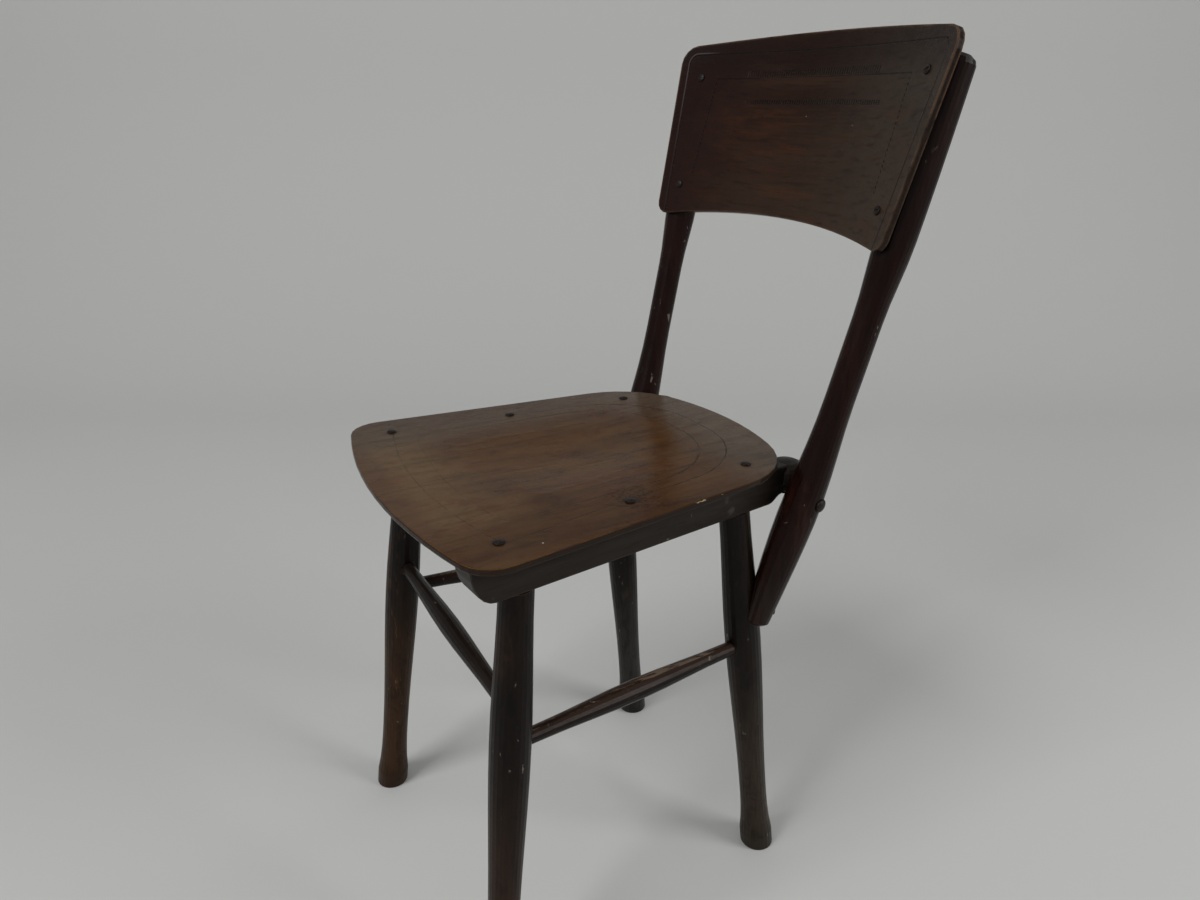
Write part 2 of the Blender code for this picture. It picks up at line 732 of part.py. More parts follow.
def panel_middle_y(height):
    """The depth of the panel's front face on the centre line, where the panel meets the posts."""
    post = post_point(1, height)
    reach = PANEL_BEND_RADIUS + PANEL_THICKNESS + post_radius(height) - PANEL_HOUSING
    return post.y + PANEL_BEND_RADIUS - math.sqrt(reach ** 2 - post.x ** 2)


def panel_point(x, z, behind=0.0):
    """A point of the panel's front face, or of a face that lies some way behind it."""
    low, high = SCREW_ROWS["lower"], SCREW_ROWS["upper"]
    share = (z - low) / (high - low)
    y = panel_middle_y(low) * (1 - share) + panel_middle_y(high) * share
    radius = PANEL_BEND_RADIUS + behind
    return Vector((x, y - PANEL_BEND_RADIUS + math.sqrt(radius ** 2 - x ** 2), z))


def panel_normal(x, z):
    """The outward direction of the panel's front face."""
    step = CLEARANCE
    across = panel_point(x + step, z) - panel_point(x - step, z)
    upwards = panel_point(x, z + step) - panel_point(x, z - step)
    return across.cross(upwards).normalized()


def build_seat_panel():
    """The plywood seat."""
    centre = Vector((0.0, (SEAT_REAR_Y + SEAT_FRONT_Y) / 2))
    flat = ringed_sheet(seat_outline(), centre, SEAT_RINGS)
    return bent_sheet("seat_panel", flat, seat_point, Vector((0, 0, 1)), SEAT_THICKNESS)


def build_back_panel():
    """The plywood back."""
    flat = stripped_sheet(panel_outline())
    return bent_sheet("back_panel", flat, panel_point, Vector((0, -1, 0)), PANEL_THICKNESS)


def panel_housing(side_name):
    """A curved cutter that beds a post to the back of the panel."""
    side = SIDES[side_name]
    near, far = 0.6 * PANEL_BOTTOM_WIDTH / 2, 1.4 * PANEL_TOP_WIDTH / 2
    low, high = PANEL_BOTTOM_HEIGHT - CLEARANCE, POST_TOP_HEIGHT + 3 * POST_TIP_RADIUS
    shape = bmesh.new()
    bmesh.ops.create_grid(shape, x_segments=16, y_segments=1, size=0.5)
    behind = PANEL_THICKNESS + CLEARANCE
    for vert in shape.verts:
        x = near + (vert.co.x + 0.5) * (far - near)
        z = low + (vert.co.y + 0.5) * (high - low)
        vert.co = mirrored(panel_point(x, z, behind), side)
    bmesh.ops.recalc_face_normals(shape, faces=shape.faces)
    made = bmesh.ops.extrude_face_region(shape, geom=shape.faces[:])["geom"]
    moved = [g for g in made if isinstance(g, bmesh.types.BMVert)]
    bmesh.ops.translate(shape, vec=(0, -4 * POST_SHOULDER_RADIUS, 0), verts=moved)
    bmesh.ops.recalc_face_normals(shape, faces=shape.faces)
    mesh = bpy.data.meshes.new(f"post_{side_name}_housing")
    shape.to_mesh(mesh)
    shape.free()
    return add_object(mesh.name, mesh, CUTTERS)


# Nails, screws and bolts

def fastener(name, head_radius, head_height, shank_radius, length, point, direction):
    """A domed head on a pointed shank. The direction leads out of the wood, from under the head."""
    rim = 0.25 * head_height
    top = [(head_radius * math.cos(a), rim + (head_height - rim) * math.sin(a))
           for a in (math.radians(d) for d in (66, 40, 0))]
    profile = [(0.0, head_height)] + top + [(0.96 * head_radius, 0.0), (shank_radius, 0.0)]
    profile += [(shank_radius, 2 * shank_radius - length), (0.0, -length)]
    piece = turned(name, profile, SMALL_STEPS)
    return place(piece, Vector(point) + Vector(direction).normalized() * CLEARANCE, direction)


def shank_hole(piece, name, shank_radius, length, point, direction):
    """A hole for a shank, from outside the wood to just past the tip."""
    radius = shank_radius + CLEARANCE
    hole = drill(name, point, -Vector(direction), radius, -length, length + CLEARANCE)
    combine(piece, hole)


def fit_seat_nails(seat, rails):
    """Six nails through the seat panel, three into each rail."""
    made = []
    for row, y in NAIL_ROWS.items():
        for side_name, side in SIDES.items():
            point = Vector((side * rail_x(y), y, SEAT_HEIGHT))
            name = f"seat_nail_{row}_{side_name}"
            up = Vector((0, 0, 1))
            made.append(fastener(name, NAIL_HEAD_RADIUS, NAIL_HEAD_HEIGHT, NAIL_SHANK_RADIUS, NAIL_LENGTH,
                                 point, up))
            for piece in (seat, rails[side_name]):
                shank_hole(piece, f"{piece.name}_{name}", NAIL_SHANK_RADIUS, NAIL_LENGTH, point, up)
    return made


def fit_back_screws(panel, posts):
    """Four screws through the back panel, two into each post."""
    made = []
    for row, z in SCREW_ROWS.items():
        x = post_point(1, z).x - SCREW_INSET
        for side_name, side in SIDES.items():
            point = mirrored(panel_point(x, z), side)
            out = mirrored(panel_normal(x, z), side)
            name = f"back_screw_{row}_{side_name}"
            made.append(fastener(name, SCREW_HEAD_RADIUS, SCREW_HEAD_HEIGHT, SCREW_SHANK_RADIUS,
                                 SCREW_LENGTH, point, out))
            for piece in (panel, posts[side_name]):
                shank_hole(piece, f"{piece.name}_{name}", SCREW_SHANK_RADIUS, SCREW_LENGTH, point, out)
    return made


def spot_faced(post, name, head_radius, head_height, shank_radius, length, height, out, other):
    """A headed fastener from the outer side of a post into what lies on its other side."""
    axis = post_point(1 if post.name.endswith("right") else -1, height)
    seat = post_radius(height) - SPOT_FACE_DEPTH
    point = axis + out * seat
    made = fastener(name, head_radius, head_height, shank_radius, length, point, out)
    face = drill(f"{name}_face", point, out, head_radius + CLEARANCE, 0.0, 4 * head_height, SMALL_STEPS + 4)
    combine(post, face)
    for piece in (post, other):
        shank_hole(piece, f"{piece.name}_{name}", shank_radius, length, point, out)
    return made


def fit_post_bolts(posts, rails):
    """One bolt square through each post into the rear of its rail."""
    made = []
    for side_name, side in SIDES.items():
        foot, tip = post_line(side)
        axis = (tip - foot).normalized()
        level = Vector((side * math.cos(BOLT_AZIMUTH), math.sin(BOLT_AZIMUTH), 0))
        out = (level - axis * level.dot(axis)).normalized()
        made.append(spot_faced(posts[side_name], f"post_bolt_{side_name}", BOLT_HEAD_RADIUS,
                               BOLT_HEAD_HEIGHT, BOLT_SHANK_RADIUS, BOLT_LENGTH, BOLT_HEIGHT, out,
                               rails[side_name]))
    return made


def fit_foot_screws(posts, legs):
    """One screw through the foot of each post into the rear leg."""
    made = []
    for side_name, side in SIDES.items():
        out = Vector((side * math.cos(FOOT_SCREW_AZIMUTH), math.sin(FOOT_SCREW_AZIMUTH), 0))
        made.append(spot_faced(posts[side_name], f"foot_screw_{side_name}", FOOT_SCREW_HEAD_RADIUS,
                               FOOT_SCREW_HEAD_HEIGHT, FOOT_SCREW_SHANK_RADIUS, FOOT_SCREW_LENGTH,
                               FOOT_SCREW_HEIGHT, out, legs["rear", side_name]))
    return made


def build_post(side_name):
    """A back post, bedded to the panel in front and to the rear leg below."""
    side = SIDES[side_name]
    name = f"post_{side_name}"
    post = post_body(name, side, 0.0, PARTS)
    combine(post, leg_body(f"{name}_leg_seat", leg_line("rear", side), CLEARANCE, CUTTERS))
    combine(post, panel_housing(side_name))
    return post


def centre_on_origin(pieces):
    """Shift the chair so that the middle of its box stands over the origin."""
    bpy.context.view_layer.update()
    ys = [(piece.matrix_world @ vert.co).y for piece in pieces for vert in piece.data.vertices]
    CHAIR.location.y = -(min(ys) + max(ys)) / 2


def build_chair():
    """Make every piece, cut the joints and finish the meshes."""
    legs = {(row, side): build_leg(row, side) for row in ("front", "rear") for side in SIDES}
    stretchers = {kind: build_stretcher(kind) for kind in ("front", "right", "left")}
    for side in SIDES:
        cut_stretcher_sockets(legs["front", side], "front")
        cut_stretcher_sockets(legs["front", side], side)
        cut_stretcher_sockets(legs["rear", side], side)
    rails = {side: build_rail(side) for side in SIDES}
    posts = {side: build_post(side) for side in SIDES}
    seat = build_seat_panel()
    panel = build_back_panel()
    hardware = fit_seat_nails(seat, rails) + fit_back_screws(panel, posts)
    hardware += fit_post_bolts(posts, rails) + fit_foot_screws(posts, legs)
    looks = [(legs.values(), wood("leg_wood", (0.045, 0.022, 0.014), 0.42)),
             (stretchers.values(), wood("stretcher_wood", (0.040, 0.021, 0.014), 0.42)),
             (rails.values(), wood("rail_wood", (0.030, 0.022, 0.018), 0.50)),
             (posts.values(), wood("post_wood", (0.050, 0.014, 0.011), 0.38)),
             ([seat], wood("seat_plywood", (0.090, 0.042, 0.022), 0.45)),
             ([panel], wood("back_plywood", (0.060, 0.024, 0.015), 0.42)),
             (hardware, iron("dark_iron"))]
    made = []
    for pieces, material in looks:
        for piece in pieces:
            finish(piece, material)
            made.append(piece)
    centre_on_origin(made)


build_chair()
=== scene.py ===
"""An old side chair: turned legs and posts, plywood seat and back, dark and well worn."""
import math

import bpy
import numpy as np
from mathutils import Matrix, Vector


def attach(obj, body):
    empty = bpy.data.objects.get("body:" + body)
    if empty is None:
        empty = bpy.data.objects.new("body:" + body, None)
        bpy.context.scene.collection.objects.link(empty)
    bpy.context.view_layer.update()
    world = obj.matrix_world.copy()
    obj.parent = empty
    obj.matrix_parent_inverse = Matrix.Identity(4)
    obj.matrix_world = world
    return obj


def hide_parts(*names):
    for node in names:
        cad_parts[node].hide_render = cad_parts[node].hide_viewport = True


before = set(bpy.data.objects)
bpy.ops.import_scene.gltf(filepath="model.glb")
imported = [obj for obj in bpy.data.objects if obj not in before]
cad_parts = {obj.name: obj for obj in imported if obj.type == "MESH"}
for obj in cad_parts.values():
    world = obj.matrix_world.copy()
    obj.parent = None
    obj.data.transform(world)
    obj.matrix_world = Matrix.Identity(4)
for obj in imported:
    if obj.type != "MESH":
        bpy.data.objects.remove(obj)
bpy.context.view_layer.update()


# The floor and the wall behind it are plain pale surfaces that curve into each other, square to the
# photograph's direction. They belong to the studio and not to the chair.
view_turn = math.radians(60.0)
floor_front, floor_back, wall_top, half_width = -6.0, 1.3, 5.0, 7.0
curve_radius, curve_steps = 0.9, 12
sweep_outline = [(floor_front, 0.0), (floor_back, 0.0)]
for step in range(1, curve_steps + 1):
    turn = step / curve_steps * math.pi / 2
    sweep_outline.append((floor_back + curve_radius * math.sin(turn),
                          curve_radius - curve_radius * math.cos(turn)))
sweep_outline.append((floor_back + curve_radius, wall_top))
facing = Vector((-math.sin(view_turn), math.cos(view_turn), 0.0))
across = Vector((math.cos(view_turn), math.sin(view_turn), 0.0))
sweep_points = []
for away, height in sweep_outline:
    for sideways in (-half_width, half_width):
        sweep_points.append(facing * away + across * sideways + Vector((0, 0, height)))
sweep_faces = [(2 * i, 2 * i + 1, 2 * i + 3, 2 * i + 2) for i in range(len(sweep_outline) - 1)]
sweep_mesh = bpy.data.meshes.new("studio_sweep")
sweep_mesh.from_pydata(sweep_points, [], sweep_faces)
sweep_mesh.shade_smooth()
paint = bpy.data.materials.new("pale_studio_paint")
paint.use_nodes = True
matt_coat = paint.node_tree.nodes["Principled BSDF"].inputs
matt_coat["Base Color"].default_value = (0.60, 0.60, 0.58, 1.0)
matt_coat["Roughness"].default_value = 0.7
matt_coat["Specular IOR Level"].default_value = 0.2
sweep_mesh.materials.append(paint)
studio_sweep = bpy.data.objects.new("studio_sweep", sweep_mesh)
bpy.context.scene.collection.objects.link(studio_sweep)


# Three large soft lamps and a faint even fill light the chair at a plain level. The strongest
# stands high in front, a second behind the near side, and a cool one at the far side.
def hang_soft_lamp(name, place, target, size, power, colour=(1.0, 1.0, 1.0)):
    """A rectangular soft lamp that points at a place."""
    lamp = bpy.data.lights.new(name, "AREA")
    lamp.shape = "RECTANGLE"
    lamp.size, lamp.size_y = size
    lamp.energy = power
    lamp.color = colour
    stand = bpy.data.objects.new(name, lamp)
    bpy.context.scene.collection.objects.link(stand)
    stand.location = place
    stand.rotation_euler = (Vector(target) - Vector(place)).to_track_quat("-Z", "Y").to_euler()


hang_soft_lamp("main_lamp", place=(0.4, -2.6, 2.8), target=(0.0, 0.0, 0.4),
               size=(1.5, 1.5), power=60)
hang_soft_lamp("side_lamp", place=(2.1, 1.7, 1.8), target=(0.0, 0.0, 0.4),
               size=(1.2, 1.2), power=34)
hang_soft_lamp("cool_lamp", place=(-2.8, 0.5, 1.4), target=(0.0, 0.0, 0.5),
               size=(1.0, 1.4), power=15, colour=(0.86, 0.94, 1.0))
fill = bpy.data.worlds.new("even_fill")
bpy.context.scene.world = fill
fill.use_nodes = True
even_light = fill.node_tree.nodes["Background"].inputs
even_light["Color"].default_value = (0.94, 0.97, 1.0, 1.0)
even_light["Strength"].default_value = 0.30
bpy.context.scene.view_settings.view_transform = "Standard"


# The camera stands where the photograph was taken: high at the front right corner, close by,
# with a wide lens.
view_tilt, view_roll = math.radians(22.3), math.radians(0.1)
camera_place = (0.6544, -0.3939, 0.7545)
focal_pixels, photo_width, sensor_width = 847.8, 1200, 36.0
sight_back = Vector((math.sin(view_turn) * math.cos(view_tilt),
                     -math.cos(view_turn) * math.cos(view_tilt), math.sin(view_tilt)))
sight_up = sight_back.cross(across)
view = bpy.data.cameras.new("photo_view")
view.sensor_width = sensor_width
view.lens = focal_pixels / photo_width * sensor_width
view.clip_start = 0.02
photo_camera = bpy.data.objects.new("photo_view", view)
bpy.context.scene.collection.objects.link(photo_camera)
aim = Matrix((across, sight_up, sight_back)).transposed().to_4x4()
photo_camera.matrix_world = (Matrix.Translation(camera_place) @ aim
                             @ Matrix.Rotation(view_roll, 4, "Z"))
bpy.context.scene.camera = photo_camera


# The seat is one sheet of bent plywood, nailed on the rails and dished by use. Two pressed lines
# run round it inside the nails. Its golden brown varnish is worn in the middle, rubbed to amber
# wood along the near rim, and missing underneath. A painted sheen greys the rear and the far side.
class Finish:
    """A wood or iron finish that is built up layer by layer in one node tree."""

    # The colour sockets of a Mix node share their names with others, so they go by number.
    SHARE, UNDER, OVER, MIXED = 0, 6, 7, 2

    def __init__(self, name):
        self.material = bpy.data.materials.new(name)
        self.material.use_nodes = True
        self.nodes = self.material.node_tree.nodes
        self.links = self.material.node_tree.links
        self.shader = self.nodes["Principled BSDF"]
        self.place = self.nodes.new("ShaderNodeTexCoord").outputs["Object"]
        self.facing = self.nodes.new("ShaderNodeNewGeometry").outputs["Normal"]

    def feed(self, socket, value):
        """Put a number, a colour or another node's output into a socket."""
        if isinstance(value, bpy.types.NodeSocket):
            self.links.new(value, socket)
        else:
            socket.default_value = value

    def moved(self, scale=(1, 1, 1), turn=(0, 0, 0), shift=(0, 0, 0)):
        """The object's own coordinates, turned and stretched."""
        mapping = self.nodes.new("ShaderNodeMapping")
        self.feed(mapping.inputs["Vector"], self.place)
        mapping.inputs["Location"].default_value = shift
        mapping.inputs["Rotation"].default_value = turn
        mapping.inputs["Scale"].default_value = scale
        return mapping.outputs["Vector"]

    def noise(self, vector, scale, detail=4.0, rough=0.55, twist=0.0):
        """Cloudy noise from 0 to 1."""
        noise = self.nodes.new("ShaderNodeTexNoise")
        self.feed(noise.inputs["Vector"], vector)
        noise.inputs["Scale"].default_value = scale
        noise.inputs["Detail"].default_value = detail
        noise.inputs["Roughness"].default_value = rough
        noise.inputs["Distortion"].default_value = twist
        return noise.outputs["Fac"]

    def cells(self, vector, scale):
        """Distance to scattered points."""
        cells = self.nodes.new("ShaderNodeTexVoronoi")
        self.feed(cells.inputs["Vector"], vector)
        cells.inputs["Scale"].default_value = scale
        return cells.outputs["Distance"]

    def band(self, value, low, high, start=0.0, end=1.0):
        """A smooth step from one level to another."""
        step = self.nodes.new("ShaderNodeMapRange")
        step.interpolation_type = "SMOOTHSTEP"
        self.feed(step.inputs["Value"], value)
        limits = (("From Min", low), ("From Max", high), ("To Min", start), ("To Max", end))
        for name, number in limits:
            self.feed(step.inputs[name], number)
        return step.outputs["Result"]

    def figure(self, kind, first, second=0.0, third=0.0):
        """One arithmetic step."""
        node = self.nodes.new("ShaderNodeMath")
        node.operation = kind
        for socket, value in zip(node.inputs, (first, second, third)):
            self.feed(socket, value)
        return node.outputs[0]

    def product(self, *values):
        """Several values multiplied."""
        total = values[0]
        for value in values[1:]:
            total = self.figure("MULTIPLY", total, value)
        return total

    def highest(self, *values):
        """The highest of several values."""
        top = values[0]
        for value in values[1:]:
            top = self.figure("MAXIMUM", top, value)
        return top

    def blend(self, amount, under, over, kind="MIX"):
        """One colour laid over another."""
        mix = self.nodes.new("ShaderNodeMix")
        mix.data_type = "RGBA"
        mix.blend_type = kind
        self.feed(mix.inputs[self.SHARE], amount)
        for socket, colour in ((self.UNDER, under), (self.OVER, over)):
            mixed_before = isinstance(colour, bpy.types.NodeSocket)
            self.feed(mix.inputs[socket], colour if mixed_before else (*colour, 1.0))
        return mix.outputs[self.MIXED]

    def shade(self, amount, under, tone):
        """A colour darkened by a tone."""
        return self.blend(amount, under, tone, "MULTIPLY")

    def axes(self, vector=None):
        """The separate X, Y and Z of a vector."""
        split = self.nodes.new("ShaderNodeSeparateXYZ")
        self.feed(split.inputs[0], vector or self.place)
        return split.outputs

    def edge(self, radius, low, high):
        """Where the surface is sharply rounded, for rubbed edges and for painted edge highlights.
        """
        bevel = self.nodes.new("ShaderNodeBevel")
        bevel.samples = 6
        bevel.inputs["Radius"].default_value = radius
        dot = self.nodes.new("ShaderNodeVectorMath")
        dot.operation = "DOT_PRODUCT"
        self.links.new(bevel.outputs[0], dot.inputs[0])
        self.links.new(self.facing, dot.inputs[1])
        return self.band(dot.outputs["Value"], high, low)

    def relief(self, height, depth, strength=1.0, under=None):
        """Raise or sink the surface by a height."""
        bump = self.nodes.new("ShaderNodeBump")
        bump.inputs["Strength"].default_value = strength
        bump.inputs["Distance"].default_value = depth
        self.feed(bump.inputs["Height"], height)
        if under is not None:
            self.links.new(under, bump.inputs["Normal"])
        return bump.outputs["Normal"]

    def near(self, point, reach, ragged=0.0):
        """1 at a place, falling to 0 at a distance, with a ragged limit."""
        away = self.nodes.new("ShaderNodeVectorMath")
        away.operation = "DISTANCE"
        self.links.new(self.place, away.inputs[0])
        away.inputs[1].default_value = point
        distance = away.outputs["Value"]
        if ragged:
            cloud = self.figure("SUBTRACT", self.noise(self.moved(), 90.0), 0.5)
            distance = self.figure("MULTIPLY_ADD", cloud, ragged, distance)
        return self.band(distance, 0.35 * reach, reach, 1.0, 0.0)

    def pressed_loop(self, across, along, side, taper, ends, rounds, width):
        """A thin line pressed round a panel: straight tapering sides and rounded corners.

        The side is half the panel's width between the lines at the middle, the taper is what it
        loses along its length, ends are the two cross lines' places, rounds their corners' radii.
        """
        length = (ends[1] - ends[0]) / 2
        along = self.figure("SUBTRACT", along, (ends[0] + ends[1]) / 2)
        out = self.figure("MULTIPLY_ADD", along, taper, self.figure("ABSOLUTE", across))
        at_end = self.figure("GREATER_THAN", along, 0.0)
        corner = self.figure("MULTIPLY_ADD", at_end, rounds[1] - rounds[0], rounds[0])
        over_side = self.figure("ADD", self.figure("SUBTRACT", out, side), corner)
        from_end = self.figure("SUBTRACT", self.figure("ABSOLUTE", along), length)
        over_end = self.figure("ADD", from_end, corner)
        past_side = self.figure("MAXIMUM", over_side, 0.0)
        past_end = self.figure("MAXIMUM", over_end, 0.0)
        squares = self.figure("MULTIPLY", past_end, past_end)
        squares = self.figure("MULTIPLY_ADD", past_side, past_side, squares)
        inner = self.figure("MINIMUM", self.figure("MAXIMUM", over_side, over_end), 0.0)
        distance = self.figure("ADD", self.figure("SQRT", squares), inner)
        distance = self.figure("ABSOLUTE", self.figure("SUBTRACT", distance, corner))
        return self.band(distance, 0.4 * width, width, 1.0, 0.0)


def dress(finish, *names):
    """Give CAD nodes a finish."""
    for name in names:
        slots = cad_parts[name].data.materials
        slots.clear()
        slots.append(finish.material)


seat = Finish("worn_seat_varnish")
# The grain runs from front to rear, from a broad figure to fine pores, with soft clouds over it.
long_grain = seat.moved((1.0, 0.055, 1.0))
broad = seat.noise(long_grain, 24.0, 5.0, 0.6, 0.6)
strands = seat.noise(seat.moved((1.0, 0.07, 1.0), shift=(0.5, 0.3, 0.0)), 95.0, 4.0, 0.6, 0.5)
fine = seat.noise(long_grain, 260.0, 3.0, 0.6)
cloud = seat.noise(seat.moved((1.0, 0.6, 1.0)), 11.0, 5.0, 0.6, 0.4)
mottle = seat.noise(seat.moved((1.0, 0.6, 1.0), shift=(0.2, 0.5, 0.0)), 36.0, 5.0, 0.65, 0.8)
x, y, z = seat.axes()
level = seat.axes(seat.facing)[2]

# The varnish is golden brown, lighter in the oval where people sit and tan along the front. The far
# side and the rear are greyed by a painted sheen.
dark_gold, pale_gold = (0.052, 0.0215, 0.0070), (0.078, 0.0340, 0.0105)
sat_gold, front_tan = (0.094, 0.0420, 0.0110), (0.138, 0.0840, 0.0370)
far_side_sheen, rear_sheen = (0.080, 0.0560, 0.0370), (0.100, 0.0740, 0.0520)
oval_half_width, oval_half_length, oval_forward = 0.125, 0.155, 0.035
off_x = seat.figure("DIVIDE", x, oval_half_width)
off_y = seat.figure("DIVIDE", seat.figure("ADD", y, oval_forward), oval_half_length)
off = seat.figure("MULTIPLY_ADD", off_x, off_x, seat.figure("MULTIPLY", off_y, off_y))
off = seat.figure("MULTIPLY_ADD", cloud, 1.2, off)
worn_middle = seat.band(off, 0.55, 1.95, 1.0, 0.0)
colour = seat.blend(seat.band(broad, 0.34, 0.66), dark_gold, pale_gold)
worn = seat.product(worn_middle, seat.band(mottle, 0.30, 0.66, 0.30, 0.9))
colour = seat.blend(worn, colour, sat_gold)
front = seat.band(seat.figure("MULTIPLY_ADD", cloud, 0.10, y), -0.150, -0.060, 0.75, 0.0)
front = seat.product(front, seat.band(seat.figure("ABSOLUTE", x), 0.125, 0.080, 0.25, 1.0))
colour = seat.blend(front, colour, front_tan)
# Painted sheen: grey laid over the far side and over the rear.
far_sheen_mask = seat.band(seat.figure("MULTIPLY_ADD", cloud, 0.10, x), -0.080, -0.010, 0.75, 0.0)
colour = seat.blend(far_sheen_mask, colour, far_side_sheen)
rear_sheen_mask = seat.band(seat.figure("MULTIPLY_ADD", cloud, 0.08, y), 0.070, 0.145, 0.0, 0.8)
colour = seat.blend(rear_sheen_mask, colour, rear_sheen)

# Dark strands, pores and mottles, reddish patches, a redder front rim, blotches and long streaks.
rim_red = (0.066, 0.0270, 0.0150)
colour = seat.shade(seat.band(strands, 0.48, 0.68, 0.0, 0.5), colour, (0.62, 0.56, 0.52))
colour = seat.shade(seat.band(fine, 0.48, 0.70, 0.0, 0.55), colour, (0.60, 0.55, 0.50))
colour = seat.shade(seat.band(mottle, 0.32, 0.46, 0.55, 0.0), colour, (0.55, 0.50, 0.46))
red_patch = seat.noise(seat.moved((1.0, 0.5, 1.0), shift=(0.9, 0.1, 0.4)), 30.0, 6.0, 0.7, 0.8)
colour = seat.shade(seat.band(red_patch, 0.48, 0.64, 0.0, 0.75), colour, (0.86, 0.62, 0.60))
ragged_y = seat.figure("MULTIPLY_ADD", mottle, 0.04, y)
rim_side = seat.figure("MULTIPLY_ADD", seat.product(x, x), 0.6, ragged_y)
colour = seat.blend(seat.band(rim_side, -0.180, -0.205, 0.0, 0.55), colour, rim_red)
blotch = seat.noise(seat.moved((1.0, 0.45, 1.0), shift=(0.6, 0.8, 0.1)), 130.0, 4.0, 0.7, 1.0)
colour = seat.shade(seat.band(blotch, 0.54, 0.68, 0.0, 0.5), colour, (0.50, 0.46, 0.44))
streak = seat.noise(seat.moved((1.0, 0.10, 1.0), shift=(0.31, 0.2, 0.0)), 44.0, 6.0, 0.7, 1.2)
colour = seat.shade(seat.band(streak, 0.62, 0.76, 0.0, 0.7), colour, (0.42, 0.38, 0.36))

# A red scrape lies near the front, and the grain is wild round the near middle nail.
front_scrape, wild_grain = (-0.005, -0.138, 0.449), (0.118, -0.050, 0.449)
scrape_red = (0.060, 0.0180, 0.0135)
scrape = seat.noise(seat.moved((1.0, 0.22, 1.0), (0, 0, 0.5), (0.7, 0.1, 0)), 46.0, 6.0, 0.75, 1.5)
scraped = seat.figure("MAXIMUM", seat.near(front_scrape, 0.034), 0.10)
scraped = seat.product(scraped, seat.band(scrape, 0.50, 0.62, 0.0, 0.85))
colour = seat.blend(scraped, colour, scrape_red)
figured = seat.noise(seat.moved((1.0, 0.45, 1.0), (0, 0, 0.35)), 120.0, 4.0, 0.6, 3.5)
figured = seat.product(seat.near(wild_grain, 0.036), seat.band(figured, 0.47, 0.58, 0.15, 1.0))
colour = seat.shade(figured, colour, (0.44, 0.41, 0.39))

# The two pressed lines bow at the front. They are dark with dirt, and worn away in places. A dark
# ring lies round each nail.
line_dirt, nail_stain = (0.010, 0.0060, 0.0045), (0.016, 0.0095, 0.0070)
bowed = seat.product(x, x, seat.band(y, -0.100, -0.160, 0.0, 1.1))
bowed = seat.figure("SUBTRACT", y, bowed)
outer_loop = seat.pressed_loop(x, bowed, side=0.1170, taper=0.128, ends=(-0.1975, 0.100),
                               rounds=(0.012, 0.082), width=0.00085)
inner_loop = seat.pressed_loop(x, bowed, side=0.0992, taper=0.055, ends=(-0.1742, 0.075),
                               rounds=(0.012, 0.085), width=0.00080)
loops = seat.highest(outer_loop, seat.product(inner_loop, 0.8))
worn_away = seat.band(seat.figure("MULTIPLY_ADD", cloud, 0.12, y), -0.11, 0.05, 0.40, 1.0)
loops = seat.product(loops, worn_away, seat.band(mottle, 0.36, 0.56, 0.15, 1.0))
colour = seat.blend(seat.product(loops, 0.75), colour, line_dirt)
nail_rings = (((0.1202, -0.0565, 0.45), 0.011), ((0.1323, -0.1795, 0.45), 0.0085),
              ((-0.1202, -0.0565, 0.45), 0.008), ((0.1069, 0.0755, 0.45), 0.0085),
              ((-0.1323, -0.1795, 0.45), 0.008), ((-0.1069, 0.0755, 0.45), 0.008))
for nail, reach in nail_rings:
    ring = seat.product(seat.near(nail, reach, 0.008), 0.65)
    colour = seat.blend(ring, colour, nail_stain)

# The edge shows its plies. The rim above it is rubbed to amber wood, most at the near front corner.
ply, amber_wood = 0.0006, (0.58, 0.260, 0.045)
dark_ply, pale_ply = (0.0090, 0.0062, 0.0050), (0.0260, 0.0175, 0.0125)
side_face = seat.band(seat.figure("ABSOLUTE", level), 0.80, 0.35)
plies = seat.figure("PINGPONG", seat.figure("ADD", z, ply / 2), ply)
ply_colour = seat.blend(seat.band(plies, ply / 3, ply * 2 / 3), dark_ply, pale_ply)
colour = seat.blend(seat.product(side_face, 0.9), colour, ply_colour)
rim_noise = seat.noise(seat.moved(), 34.0, 5.0, 0.7)
edge_wear_and_highlight = seat.product(seat.edge(0.0014, 0.80, 0.98), seat.band(level, 0.35, 0.75))
edge_wear_and_highlight = seat.product(edge_wear_and_highlight, seat.band(rim_noise, 0.40, 0.58, 0.10, 1.0))
near_corner = seat.figure("SUBTRACT", seat.figure("MULTIPLY", x, 0.55), y)
edge_wear_and_highlight = seat.product(edge_wear_and_highlight, seat.band(near_corner, 0.08, 0.25, 0.15, 1.0))
colour = seat.blend(edge_wear_and_highlight, colour, amber_wood)

# A few pale flecks are scattered, one of them by the near rim, which is chipped in two places.
pale_fleck, chipped_wood = (0.62, 0.58, 0.50), (0.48, 0.38, 0.22)
flecks = seat.band(seat.cells(seat.moved(), 62.0), 0.022, 0.040, 1.0, 0.0)
flecks = seat.product(flecks, seat.band(seat.noise(seat.moved(), 21.0), 0.62, 0.66))
flecks = seat.highest(flecks, seat.near((0.1488, -0.1510, 0.450), 0.0009))
colour = seat.blend(flecks, colour, pale_fleck)
chips = seat.noise(seat.moved((1.0, 0.5, 1.0), shift=(0.1, 0.3, 0.2)), 520.0, 2.0, 0.5)
chipped = seat.highest(seat.near((0.1520, -0.0040, 0.4495), 0.009),
                       seat.near((0.1495, 0.0190, 0.4495), 0.006))
chips = seat.product(chipped, seat.band(chips, 0.53, 0.57), seat.band(level, 0.10, 0.40))
chips = seat.product(chips, seat.band(level, 0.995, 0.970))
colour = seat.blend(chips, colour, chipped_wood)

